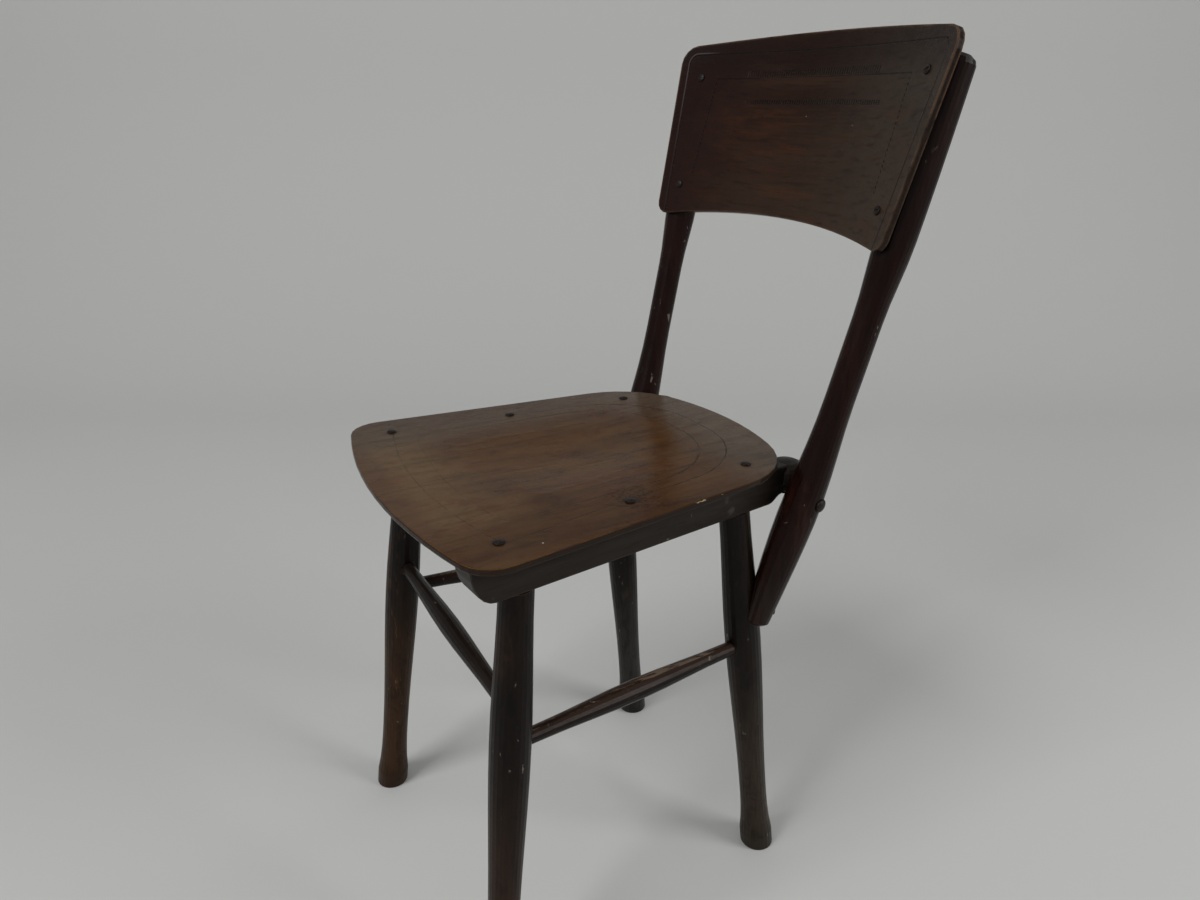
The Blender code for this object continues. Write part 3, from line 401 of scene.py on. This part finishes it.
# The underside is bare wood. The varnish is glossier where it is whole, duller in its pores.
pale_wood, brown_wood = (0.170, 0.098, 0.050), (0.105, 0.058, 0.030)
bare = seat.band(level, -0.50, -0.80)
bare_wood = seat.blend(seat.band(strands, 0.40, 0.62), pale_wood, brown_wood)
bare_wood = seat.shade(seat.band(mottle, 0.36, 0.56, 0.6, 0.0), bare_wood, (0.55, 0.52, 0.50))
colour = seat.blend(bare, colour, bare_wood)
seat.feed(seat.shader.inputs["Base Color"], colour)
gloss = seat.figure("MULTIPLY_ADD", mottle, 0.28, 0.08)
gloss = seat.figure("MULTIPLY_ADD", seat.band(fine, 0.45, 0.70), 0.10, gloss)
dull_places = (seat.product(bare, 0.75), seat.product(flecks, 0.8), seat.product(edge_wear_and_highlight, 0.5))
seat.feed(seat.shader.inputs["Roughness"], seat.highest(gloss, *dull_places))
seat.shader.inputs["Specular IOR Level"].default_value = 0.10
pore_depth, dent_depth, line_depth = 0.00010, 0.0003, 0.0006
ridges = seat.relief(seat.figure("MULTIPLY_ADD", fine, 0.5, strands), pore_depth)
dents = seat.relief(seat.noise(seat.moved(), 60.0, 3.0, 0.6), dent_depth, 0.5, ridges)
seat.feed(seat.shader.inputs["Normal"], seat.relief(loops, -line_depth, 1.0, dents))
dress(seat, "seat_panel")


# The back is one sheet of plywood bent round the sitter and screwed to the posts. A pressed border,
# two rows of short ticks and a dotted line down each side ornament its front. Its red brown varnish
# is darker than the seat's, nearly black at the top and the far end, with amber streaks.
back = Finish("dark_back_varnish")
# The grain runs from side to side, from a broad figure to fine pores, with soft clouds over it.
cross_grain = back.moved((0.05, 1.0, 1.0))
broad = back.noise(cross_grain, 30.0, 5.0, 0.6, 0.8)
fine = back.noise(cross_grain, 300.0, 3.0, 0.6)
cloud = back.noise(back.moved((0.7, 1.0, 1.0)), 10.0, 5.0, 0.6, 0.4)
x, y, z = back.axes()
aside = back.figure("ABSOLUTE", x)
facing_front = back.axes(back.facing)[1]
front_face = back.band(facing_front, -0.10, -0.30)

# A painted sheen makes the near end dull grey and the lower part lighter. The varnish is nearly
# black at the far end and the top. Amber streaks and a faint red glow lie between.
dark_brown, red_brown = (0.0200, 0.0088, 0.0052), (0.0350, 0.0165, 0.0095)
near_end_sheen_brown, lower_sheen_brown = (0.0350, 0.0250, 0.0175), (0.0430, 0.0260, 0.0165)
amber_streak, red_glow = (0.0620, 0.0210, 0.0085), (0.0400, 0.0115, 0.0060)
end_black, top_black = (0.0150, 0.0042, 0.0030), (0.0130, 0.0060, 0.0042)
colour = back.blend(back.band(broad, 0.36, 0.66), dark_brown, red_brown)
# Painted sheen: the near end and the lower part are laid lighter and greyer.
near_end_sheen_mask = back.band(back.figure("MULTIPLY_ADD", cloud, 0.08, x), 0.02, 0.17, 0.0, 0.75)
colour = back.blend(near_end_sheen_mask, colour, near_end_sheen_brown)
lower_sheen_mask = back.band(back.figure("MULTIPLY_ADD", cloud, -0.05, z), 0.72, 0.62, 0.0, 0.7)
colour = back.blend(lower_sheen_mask, colour, lower_sheen_brown)
amber = back.noise(back.moved((0.05, 1.0, 1.0), shift=(0.4, 0.0, 0.7)), 120.0, 5.0, 0.6, 0.8)
amber = back.product(back.band(amber, 0.48, 0.66, 0.0, 0.85), back.band(z, 0.785, 0.735, 0.2, 1.0))
amber = back.product(amber, back.band(cloud, 0.36, 0.56, 0.10, 0.75))
amber = back.product(amber, back.band(x, 0.16, 0.02, 0.35, 1.0))
colour = back.blend(amber, colour, amber_streak)
glow = back.product(back.near((-0.060, 0.120, 0.745), 0.110, 0.12), 0.55)
colour = back.blend(glow, colour, red_glow)
far_end = back.band(back.figure("MULTIPLY_ADD", cloud, 0.05, x), -0.010, -0.130, 0.0, 0.8)
colour = back.blend(far_end, colour, end_black)
upper = back.band(back.figure("MULTIPLY_ADD", cloud, 0.03, z), 0.785, 0.815, 0.0, 0.7)
colour = back.blend(upper, colour, top_black)
colour = back.shade(back.band(fine, 0.48, 0.70, 0.0, 0.6), colour, (0.45, 0.40, 0.38))


def tick_row(height, ends, half_tick, pitch):
    """Short upright ticks side by side along a row of the back, and the ridges between them."""
    fade = 0.012
    off_row = back.figure("ABSOLUTE", back.figure("SUBTRACT", z, height))
    in_row = back.band(off_row, 0.8 * half_tick, half_tick, 1.0, 0.0)
    fading_in = back.band(x, ends[0] - fade, ends[0] + fade)
    in_reach = back.product(fading_in, back.figure("LESS_THAN", x, ends[1]))
    beat = back.figure("PINGPONG", x, pitch / 2)
    mark = back.band(beat, 0.18 * pitch, 0.30 * pitch, 1.0, 0.0)
    row = back.product(in_row, in_reach)
    return back.product(row, mark), back.product(row, back.band(beat, 0.34 * pitch, 0.46 * pitch))


def fine_line(coordinate, place, low, high, along):
    """A thin straight line at one coordinate, between two places along the other."""
    gap = back.figure("ABSOLUTE", back.figure("SUBTRACT", coordinate, place))
    past_low = back.figure("GREATER_THAN", along, low)
    inside = back.product(past_low, back.figure("LESS_THAN", along, high))
    return back.product(back.band(gap, 0.0003, 0.0007, 1.0, 0.0), inside)


tick_pitch, bead_pitch = 0.0031, 0.0042
bead_top, bead_foot, bead_side = 0.7772, 0.684, 0.129
upper_ticks, upper_ridges = tick_row(0.7812, (-0.085, 0.086), 0.0035, tick_pitch)
lower_ticks, lower_ridges = tick_row(0.7548, (-0.080, 0.097), 0.0022, tick_pitch)
beads = back.band(back.figure("PINGPONG", z, bead_pitch / 2), 0.0007, 0.0013, 1.0, 0.0)
beads = back.product(fine_line(aside, bead_side, bead_foot, bead_top, z), beads)
top_line = back.product(fine_line(z, bead_top, 0.0, bead_side, aside), 0.6)
border = back.pressed_loop(x, z, side=0.1580, taper=-0.105, ends=(0.600, 0.8012),
                           rounds=(0.009, 0.009), width=0.00085)
pressed = back.highest(upper_ticks, lower_ticks, beads, top_line, back.product(border, 0.65))
pressed = back.product(pressed, front_face, back.band(cloud, 0.30, 0.48, 0.5, 1.0))

# Black dirt fills what is pressed in. Paler colour between the ticks, beside the border and on the
# sharp edges is a painted highlight, and the edge shows its plies, painted darker as shade.
pressed_dirt, tick_ridge_highlight = (0.0015, 0.0010, 0.0008), (0.0480, 0.0330, 0.0240)
dark_ply, pale_ply = (0.0055, 0.0036, 0.0028), (0.0150, 0.0085, 0.0058)
edge_highlight, border_highlight = (0.1700, 0.0980, 0.0600), (0.0850, 0.0640, 0.0600)
colour = back.blend(back.product(pressed, 0.9), colour, pressed_dirt)
# Painted highlight on the ridges between the ticks.
ridges = back.highest(upper_ridges, lower_ridges)
ridges = back.product(ridges, front_face, back.band(x, -0.06, 0.06, 0.1, 0.6))
colour = back.blend(ridges, colour, tick_ridge_highlight)
# Painted shade: the edge faces are laid darker, in ply stripes.
turned_aside = back.band(back.figure("ABSOLUTE", facing_front), 0.62, 0.30)
plies = back.noise(back.moved((0.3, 1.0, 0.3)), 700.0, 1.0, 0.5)
ply_colour = back.blend(back.band(plies, 0.45, 0.60), dark_ply, pale_ply)
colour = back.blend(back.product(turned_aside, 0.85), colour, ply_colour)
# Painted highlight along the sharp edges, strongest at the top.
rim_noise = back.noise(back.moved(), 40.0, 5.0, 0.7)
edge_wear_and_highlight = back.product(back.edge(0.0040, 0.82, 0.985), back.band(rim_noise, 0.34, 0.54))
edge_wear_and_highlight = back.product(edge_wear_and_highlight, back.band(z, 0.66, 0.80, 0.45, 1.0))
colour = back.blend(edge_wear_and_highlight, colour, edge_highlight)
# Painted highlight beside the border on the far side.
border_highlight_mask = back.pressed_loop(x, z, side=0.1596, taper=-0.105, ends=(0.600, 0.8028),
                          rounds=(0.010, 0.010), width=0.0009)
border_highlight_mask = back.product(border_highlight_mask, front_face, back.band(x, -0.13, -0.155))
border_highlight_mask = back.product(border_highlight_mask, back.band(z, 0.69, 0.79, 0.15, 0.75))
colour = back.blend(border_highlight_mask, colour, border_highlight)

# A few pale flecks are scattered, and three lie below the ticks.
flecks = back.band(back.cells(back.moved(), 48.0), 0.016, 0.030, 1.0, 0.0)
flecks = back.product(flecks, back.band(back.noise(back.moved(), 25.0), 0.60, 0.64))
for spot in ((0.0730, 0.1180, 0.7280), (0.0400, 0.1290, 0.6990), (0.0520, 0.1260, 0.7030)):
    flecks = back.highest(flecks, back.near(spot, 0.0028, 0.002))
colour = back.blend(flecks, colour, (0.30, 0.27, 0.24))
back.feed(back.shader.inputs["Base Color"], colour)
gloss = back.figure("MULTIPLY_ADD", cloud, 0.22, 0.16)
gloss = back.figure("MULTIPLY_ADD", back.band(fine, 0.45, 0.70), 0.10, gloss)
back.feed(back.shader.inputs["Roughness"], gloss)
back.shader.inputs["Specular IOR Level"].default_value = 0.13
pore_depth, dent_depth, line_depth = 0.00006, 0.0002, 0.0006
ridges = back.relief(back.figure("MULTIPLY_ADD", fine, 0.5, broad), pore_depth)
dents = back.relief(back.noise(back.moved(), 60.0, 3.0, 0.6), dent_depth, 0.3, ridges)
back.feed(back.shader.inputs["Normal"], back.relief(pressed, -line_depth, 1.0, dents))
dress(back, "back_panel")


# The four legs are turned beech with round tenons. Their stain is nearly black under the seat, and
# worn to brown in long streaks lower down, with pale scratches, specks and a dirty foot.
class StainedWood(Finish):
    """Dark stained solid wood, worn to a lighter colour in streaks and patches.

    The grain is a stretch of the axes, least along the grain. The colour stays with the finish, so
    that each place's own wear can be laid on it before the wear that all the wood has.
    """

    def __init__(self, name, grain, stain, worn, wear):
        super().__init__(name)
        self.grain = grain
        self.streaks = self.noise(self.moved(grain), 46.0, 5.0, 0.6, 0.5)
        self.pores = self.noise(self.moved(grain), 330.0, 3.0, 0.65)
        self.cloud = self.noise(self.moved(self.softened_grain(0.35)), 17.0, 5.0, 0.6, 0.3)
        dark_stain = tuple(0.6 * part for part in stain)
        self.colour = self.blend(self.band(self.streaks, 0.36, 0.66), dark_stain, stain)
        patch = self.figure("MULTIPLY_ADD", self.streaks, 0.35, self.product(self.cloud, 0.65))
        spread = 0.10 * wear
        self.lay(self.band(patch, 0.58 - spread, 0.72 - spread, 0.0, 0.85), worn)

    def softened_grain(self, least):
        """The grain's stretch, less drawn out."""
        return tuple(least + (1.0 - least) * share for share in self.grain)

    def lay(self, amount, colour):
        """Lay a colour over what is there."""
        self.colour = self.blend(amount, self.colour, colour)

    def darken(self, amount, tone):
        """Darken what is there by a tone."""
        self.colour = self.shade(amount, self.colour, tone)

    def wear_and_tear(self, scuffs, shine, rubbed_colour):
        """Pores, scratches, rubbed edges, worn dashes and specks, then the gloss and the relief."""
        self.darken(self.band(self.pores, 0.50, 0.70, 0.0, 0.6), (0.45, 0.42, 0.40))
        marks = self.noise(self.moved((1.0, 1.0, 0.35), (0.9, 0.5, 0.3)), 210.0, 2.0, 0.5, 0.6)
        where = self.noise(self.moved(shift=(0.37, 0.11, 0.53)), 24.0, 3.0, 0.5)
        scuffed = self.product(self.band(marks, 0.66, 0.72), self.band(where, 0.54, 0.62))
        self.lay(self.product(scuffed, scuffs), (0.20, 0.16, 0.13))
        rim_noise = self.noise(self.moved(), 45.0, 4.0, 0.7)
        edge_wear_and_highlight = self.product(self.edge(0.0025, 0.85, 0.99), self.band(rim_noise, 0.42, 0.60))
        self.lay(self.product(edge_wear_and_highlight, 0.75), rubbed_colour)
        short_grain = self.moved(self.softened_grain(0.12), shift=(0.2, 0.7, 0.4))
        dashes = self.noise(short_grain, 420.0, 2.0, 0.5)
        dashed = self.product(self.band(dashes, 0.62, 0.70), self.band(self.cloud, 0.46, 0.60))
        dashed = self.product(dashed, self.band(self.axes()[2], 0.38, 0.20, 0.10, 0.55))
        self.lay(dashed, rubbed_colour)
        longish = self.moved(self.softened_grain(0.4))
        specks = self.band(self.cells(longish, 95.0), 0.020, 0.042, 1.0, 0.0)
        specks = self.product(specks, self.band(where, 0.60, 0.64), scuffs)
        self.lay(specks, (0.25, 0.21, 0.18))
        self.feed(self.shader.inputs["Base Color"], self.colour)
        gloss = self.figure("MULTIPLY_ADD", self.cloud, 0.30, shine)
        gloss = self.figure("MULTIPLY_ADD", scuffed, 0.2, gloss)
        self.feed(self.shader.inputs["Roughness"], gloss)
        self.shader.inputs["Specular IOR Level"].default_value = 0.14
        grain_relief = self.figure("MULTIPLY_ADD", self.pores, 0.5, self.streaks)
        ridges = self.relief(grain_relief, 0.00014)
        dents = self.relief(self.noise(self.moved(), 85.0, 3.0, 0.6), 0.00035, 0.6, ridges)
        self.feed(self.shader.inputs["Normal"], dents)


upright_grain = (1.0, 1.0, 0.05)
black_stain, brown_black = (0.0075, 0.0040, 0.0028), (0.0085, 0.0048, 0.0034)
# Each leg's colour low down, and its colour where it is worn. The far rear leg's grey colour low
# down is a painted sheen.
leg_looks = {"leg_front_right": ((0.0270, 0.0130, 0.0068), (0.0560, 0.0250, 0.0110)),
             "leg_front_left": ((0.0480, 0.0215, 0.0080), (0.0900, 0.0380, 0.0110)),
             "leg_rear_right": ((0.0370, 0.0255, 0.0165), (0.0520, 0.0320, 0.0190)),
             "leg_rear_left": ((0.0350, 0.0320, 0.0280), (0.0440, 0.0330, 0.0250))}
for leg_name, (low_colour, worn_colour) in leg_looks.items():
    wood = StainedWood(f"{leg_name}_varnish", upright_grain, black_stain, worn_colour, wear=0.5)
    ragged = wood.figure("SUBTRACT", wood.streaks, 0.5)
    height = wood.figure("MULTIPLY_ADD", ragged, 0.22, wood.axes()[2])
    wood.lay(wood.band(height, 0.26, 0.38, 0.0, 0.7), brown_black)
    wood.lay(wood.band(height, 0.30, 0.08, 0.0, 0.85), low_colour)
    stains = wood.noise(wood.moved((1.0, 1.0, 0.5), shift=(0.3, 0.9, 0.2)), 60.0, 5.0, 0.7, 0.8)
    wood.darken(wood.band(stains, 0.48, 0.62, 0.0, 0.7), (0.45, 0.42, 0.42))
    wood.darken(wood.band(wood.axes()[2], 0.045, 0.010, 0.0, 0.6), (0.55, 0.60, 0.62))
    wood.wear_and_tear(scuffs=1.0, shine=0.20, rubbed_colour=worn_colour)
    dress(wood, leg_name)


# The two back posts are turned beech, bent forwards below the seat. Each is bolted to the knob of
# a rail and screwed to a rear leg. Their dark red varnish is worn to brown below the seat.
red_stain, worn_red = (0.0150, 0.0048, 0.0032), (0.0280, 0.0100, 0.0058)
handled_red, top_black = (0.0400, 0.0130, 0.0065), (0.0085, 0.0045, 0.0038)
foot_brown, rubbed_brown = (0.0170, 0.0115, 0.0090), (0.0900, 0.0400, 0.0180)
for post_name in ("post_right", "post_left"):
    wood = StainedWood(f"{post_name}_varnish", upright_grain, red_stain, worn_red, wear=0.20)
    ragged = wood.figure("SUBTRACT", wood.cloud, 0.5)
    height = wood.figure("MULTIPLY_ADD", ragged, 0.20, wood.axes()[2])
    low_down = wood.band(height, 0.46, 0.40)
    in_streaks = wood.band(wood.streaks, 0.50, 0.70, 0.0, 0.7)
    wood.lay(wood.product(low_down, in_streaks), handled_red)
    wood.lay(wood.band(height, 0.58, 0.72, 0.0, 0.6), top_black)
    wood.lay(wood.band(height, 0.35, 0.30, 0.0, 0.6), foot_brown)
    wood.wear_and_tear(scuffs=0.7, shine=0.12, rubbed_colour=rubbed_brown)
    dress(wood, post_name)


# The three stretchers are turned beech, fitted into the legs and stained nearly black. The side
# ones are worn brown, and pale in a narrow streak along the top, where feet have rested.
near_black, worn_brown = (0.0115, 0.0078, 0.0064), (0.0260, 0.0155, 0.0110)
trodden_brown, trodden_wood = (0.0400, 0.0215, 0.0140), (0.1900, 0.1350, 0.0950)
grain_across, grain_along = (0.05, 1.0, 1.0), (1.0, 0.05, 1.0)
for stretcher_name, grain, trodden_share in (("stretcher_front", grain_across, 0.05),
                                             ("stretcher_right", grain_along, 1.0),
                                             ("stretcher_left", grain_along, 1.0)):
    wood = StainedWood(f"{stretcher_name}_varnish", grain, near_black, worn_brown, wear=0.3)
    upwards = wood.axes(wood.facing)[2]
    wood.lay(wood.product(wood.band(upwards, 0.10, 0.70), trodden_share, 0.8), trodden_brown)
    short_grain = wood.moved(wood.softened_grain(0.1), shift=(0.5, 0.2, 0.8))
    breaks = wood.band(wood.noise(short_grain, 190.0, 4.0, 0.7), 0.49, 0.57)
    streak = wood.product(wood.band(upwards, 0.93, 0.99), breaks, trodden_share, 0.85)
    wood.lay(streak, trodden_wood)
    wood.wear_and_tear(scuffs=0.8, shine=0.16, rubbed_colour=(0.0900, 0.0500, 0.0260))
    dress(wood, stretcher_name)


# The two side rails are sawn beech beams under the seat, rounded at the front below, with an
# upright knob at the rear. Their grey brown stain is barely worn, but for two scuffs on the side.
grey_stain, worn_grey = (0.0230, 0.0165, 0.0125), (0.0360, 0.0250, 0.0175)
for rail_name, side in (("rail_right", 1), ("rail_left", -1)):
    wood = StainedWood(f"{rail_name}_varnish", grain_along, grey_stain, worn_grey, wear=0.4)
    for outwards, behind, height in ((0.1264, 0.0420, 0.4285), (0.1258, 0.0480, 0.4183)):
        scuff = wood.near((side * outwards, behind, height), 0.0050, 0.014)
        wood.lay(wood.product(scuff, 0.45), (0.0800, 0.0690, 0.0600))
    wood.wear_and_tear(scuffs=0.9, shine=0.28, rubbed_colour=(0.0950, 0.0700, 0.0500))
    dress(wood, rail_name)


# The nails, screws and bolts are rusty blackened iron. Six domed nails hold the seat, four slotted
# screws the back, and a bolt and a slotted screw each post. One node tree turns each of them from
# its own sizes, dents its head and cuts its slot.
def bent_curve(tree, value, points):
    """A value read from a drawn curve of straight pieces."""
    curve = tree.nodes.new("ShaderNodeFloatCurve")
    line = curve.mapping.curves[0]
    while len(line.points) < len(points):
        line.points.new(0.5, 0.5)
    for point, (position, height) in zip(line.points, points):
        point.location = (position, height)
        point.handle_type = "VECTOR"
    curve.mapping.update()
    tree.links.new(value, curve.inputs["Value"])
    return curve.outputs["Value"]


def fastener_tree():
    """The tree that turns a headed fastener along a direction."""
    tree = bpy.data.node_groups.new("headed_fastener", "GeometryNodeTree")
    tree.interface.new_socket(name="Fastener", in_out="OUTPUT", socket_type="NodeSocketGeometry")
    for name, kind in (("Head Radius", "Float"), ("Head Height", "Float"),
                       ("Shank Radius", "Float"), ("Length", "Float"), ("Slot Width", "Float"),
                       ("Dents", "Float"), ("Place", "Vector"), ("Out", "Vector"),
                       ("Seed", "Int"), ("Iron", "Material")):
        tree.interface.new_socket(name=name, in_out="INPUT", socket_type=f"NodeSocket{kind}")
    given = tree.nodes.new("NodeGroupInput").outputs
    result = tree.nodes.new("NodeGroupOutput").inputs

    def node(kind, **settings):
        made = tree.nodes.new(kind)
        for name, value in settings.items():
            setattr(made, name, value)
        return made

    def join(value, socket):
        if isinstance(value, bpy.types.NodeSocket):
            tree.links.new(value, socket)
        else:
            socket.default_value = value

    def sum_up(operation, first, second=0.0, third=0.0):
        step = node("ShaderNodeMath", operation=operation)
        for socket, value in zip(step.inputs, (first, second, third)):
            join(value, socket)
        return step.outputs[0]

    # A round bar of unit size is drawn to the fastener's outline, ring by ring from the tip.
    rings, facets = 24, 28
    bar = node("GeometryNodeMeshCylinder", fill_type="NGON")
    bar.inputs["Vertices"].default_value = facets
    bar.inputs["Side Segments"].default_value = rings
    bar.inputs["Radius"].default_value = 1.0
    bar.inputs["Depth"].default_value = 1.0
    split = node("ShaderNodeSeparateXYZ")
    join(node("GeometryNodeInputPosition").outputs[0], split.inputs[0])
    along = sum_up("ADD", split.outputs["Z"], 0.5)
    half = rings // 2
    crown = [(half + i, math.radians(90.0 * i / half)) for i in range(half + 1)]
    flat = (half - 1) / rings
    shank_end = (half - 2) / rings
    tip_end, tip_width = 2.5 / rings, 0.12
    flat_width, crown_tip, rim_height = 0.96, 0.02, 0.25
    head_share = bent_curve(tree, along, [(0.0, 0.0), (shank_end, 0.0), (flat, flat_width)] + [
        (i / rings, max(crown_tip, math.cos(angle))) for i, angle in crown])
    shank_share = bent_curve(tree, along, [
        (0.0, tip_width), (tip_end, 1.0), (shank_end, 1.0), (flat, 0.0), (1.0, 0.0)])
    height_share = bent_curve(tree, along, [(0.0, 0.0), (flat, 0.0)] + [
        (i / rings, rim_height + (1.0 - rim_height) * math.sin(angle)) for i, angle in crown])
    depth_share = bent_curve(tree, along, [(0.0, 1.0), (shank_end, 0.0), (1.0, 0.0)])
    radius = sum_up("MULTIPLY", head_share, given["Head Radius"])
    radius = sum_up("MULTIPLY_ADD", shank_share, given["Shank Radius"], radius)
    height = sum_up("MULTIPLY", height_share, given["Head Height"])
    height = sum_up("SUBTRACT", height, sum_up("MULTIPLY", depth_share, given["Length"]))
    place = node("ShaderNodeCombineXYZ")
    join(sum_up("MULTIPLY", split.outputs["X"], radius), place.inputs["X"])
    join(sum_up("MULTIPLY", split.outputs["Y"], radius), place.inputs["Y"])
    join(height, place.inputs["Z"])
    shaped = node("GeometryNodeSetPosition")
    join(bar.outputs["Mesh"], shaped.inputs["Geometry"])
    join(place.outputs[0], shaped.inputs["Position"])

    # The head is dented by a noise of its own seed, the shank left smooth.
    seed_stride, just_above_shank = 3.7, 0.00005
    dent = node("ShaderNodeTexNoise", noise_dimensions="4D")
    join(node("GeometryNodeInputPosition").outputs[0], dent.inputs["Vector"])
    join(sum_up("MULTIPLY", given["Seed"], seed_stride), dent.inputs["W"])
    dent.inputs["Scale"].default_value = 420.0
    dent.inputs["Detail"].default_value = 2.0
    again = node("ShaderNodeSeparateXYZ")
    join(node("GeometryNodeInputPosition").outputs[0], again.inputs[0])
    on_head = sum_up("GREATER_THAN", again.outputs["Z"], just_above_shank)
    depth = sum_up("MULTIPLY", sum_up("SUBTRACT", dent.outputs[0], 0.5), given["Dents"])
    push = node("ShaderNodeVectorMath", operation="SCALE")
    join(node("GeometryNodeInputNormal").outputs[0], push.inputs[0])
    join(sum_up("MULTIPLY", depth, on_head), push.inputs["Scale"])
    dented = node("GeometryNodeSetPosition")
    join(shaped.outputs["Geometry"], dented.inputs["Geometry"])
    join(push.outputs[0], dented.inputs["Offset"])

    # A slot is cut across the crown, turned at random, where the fastener has one.
    slot_reach, slot_lift = 3.0, 1.05
    chisel = node("GeometryNodeMeshCube")
    size = node("ShaderNodeCombineXYZ")
    join(sum_up("MULTIPLY", given["Head Radius"], slot_reach), size.inputs["X"])
    join(given["Slot Width"], size.inputs["Y"])
    join(given["Head Height"], size.inputs["Z"])
    join(size.outputs[0], chisel.inputs["Size"])
    swing = node("FunctionNodeRandomValue", data_type="FLOAT")
    least, most, number = swing.inputs[2], swing.inputs[3], swing.outputs[1]
    least.default_value = 0.0
    most.default_value = math.pi
    join(given["Seed"], swing.inputs["Seed"])
    swung = node("ShaderNodeCombineXYZ")
    join(number, swung.inputs["Z"])
    risen = node("ShaderNodeCombineXYZ")
    join(sum_up("MULTIPLY", given["Head Height"], slot_lift), risen.inputs["Z"])
    turned_slot = node("GeometryNodeTransform")
    join(chisel.outputs["Mesh"], turned_slot.inputs["Geometry"])
    join(risen.outputs[0], turned_slot.inputs["Translation"])
    to_turn = node("FunctionNodeEulerToRotation")
    join(swung.outputs[0], to_turn.inputs[0])
    join(to_turn.outputs[0], turned_slot.inputs["Rotation"])
    cut = node("GeometryNodeMeshBoolean", operation="DIFFERENCE", solver="EXACT")
    join(dented.outputs["Geometry"], cut.inputs["Mesh 1"])
    join(turned_slot.outputs["Geometry"], cut.inputs["Mesh 2"])
    choice = node("GeometryNodeSwitch", input_type="GEOMETRY")
    join(sum_up("GREATER_THAN", given["Slot Width"], 0.0), choice.inputs["Switch"])
    join(dented.outputs["Geometry"], choice.inputs["False"])
    join(cut.outputs["Mesh"], choice.inputs["True"])

    # It is set at its place, its head outwards, and painted.
    aim = node("FunctionNodeAlignRotationToVector", axis="Z")
    join(given["Out"], aim.inputs["Vector"])
    driven = node("GeometryNodeTransform")
    join(choice.outputs[0], driven.inputs["Geometry"])
    join(given["Place"], driven.inputs["Translation"])
    join(aim.outputs[0], driven.inputs["Rotation"])
    real = node("GeometryNodeRealizeInstances")
    join(driven.outputs["Geometry"], real.inputs["Geometry"])
    painted = node("GeometryNodeSetMaterial")
    join(real.outputs["Geometry"], painted.inputs["Geometry"])
    join(given["Iron"], painted.inputs["Material"])
    join(painted.outputs["Geometry"], result["Fastener"])
    return tree


def measured(node):
    """A CAD fastener's place under the head, outward direction and sizes."""
    wide, top_layer, below_head = 0.6, 0.00005, 0.0002
    points = np.array([node.matrix_world @ vert.co for vert in node.data.vertices])
    middle = points.mean(axis=0)
    axis = np.linalg.svd(points - middle, full_matrices=False)[2][0]
    along = (points - middle) @ axis
    radial = np.linalg.norm(points - middle - np.outer(along, axis), axis=1)
    if along[radial > wide * radial.max()].mean() < 0:
        axis, along = -axis, -along
    on_axis = points[along > along.max() - top_layer].mean(axis=0)
    middle = on_axis - axis * along.max()
    radial = np.linalg.norm(points - middle - np.outer(along, axis), axis=1)
    under = along[radial > wide * radial.max()].min()
    shank = radial[along < under - below_head].max()
    return {"Head Radius": radial.max(), "Head Height": along.max() - under, "Shank Radius": shank,
            "Length": under - along.min(), "Place": middle + axis * under, "Out": axis}


iron = Finish("rusted_iron")
rust = iron.noise(iron.moved(), 420.0, 5.0, 0.65)
black_iron, brown_rust = (0.0060, 0.0048, 0.0045), (0.0200, 0.0090, 0.0055)
colour = iron.blend(iron.band(rust, 0.45, 0.62), black_iron, brown_rust)
iron.feed(iron.shader.inputs["Base Color"], colour)
iron.feed(iron.shader.inputs["Roughness"], iron.figure("MULTIPLY_ADD", rust, 0.5, 0.15))
iron.shader.inputs["Specular IOR Level"].default_value = 0.22
iron.feed(iron.shader.inputs["Normal"], iron.relief(rust, 0.0004, 0.8))
turned_fastener = fastener_tree()
sockets = turned_fastener.interface.items_tree
inputs = {socket.name: socket.identifier for socket in sockets if socket.in_out == "INPUT"}
fastener_nodes = [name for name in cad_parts
                  if name.startswith(("seat_nail", "back_screw", "post_bolt", "foot_screw"))]
slot_width, dent_depth = 0.0009, 0.0005
for seed, name in enumerate(sorted(fastener_nodes)):
    slotted = name.startswith(("back_screw", "foot_screw"))
    blank = bpy.data.objects.new(f"{name}_blank", bpy.data.meshes.new(f"{name}_blank"))
    bpy.context.scene.collection.objects.link(blank)
    step = blank.modifiers.new("Turned", "NODES")
    step.node_group = turned_fastener
    sizes = measured(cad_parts[name])
    sizes |= {"Slot Width": slot_width if slotted else 0.0, "Dents": dent_depth,
              "Seed": seed, "Iron": iron.material}
    for title, value in sizes.items():
        plain = value.tolist() if isinstance(value, np.ndarray) else value
        step[inputs[title]] = float(plain) if isinstance(plain, np.floating) else plain
    bpy.context.view_layer.update()
    turned_blank = blank.evaluated_get(bpy.context.evaluated_depsgraph_get())
    forged = bpy.data.meshes.new_from_object(turned_blank)
    bpy.data.objects.remove(blank)
    forged.name = f"iron_{name}"
    forged.set_sharp_from_angle(angle=math.radians(40.0))
    piece = bpy.data.objects.new(f"iron_{name}", forged)
    bpy.context.scene.collection.objects.link(piece)
    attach(piece, "root")
    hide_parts(name)
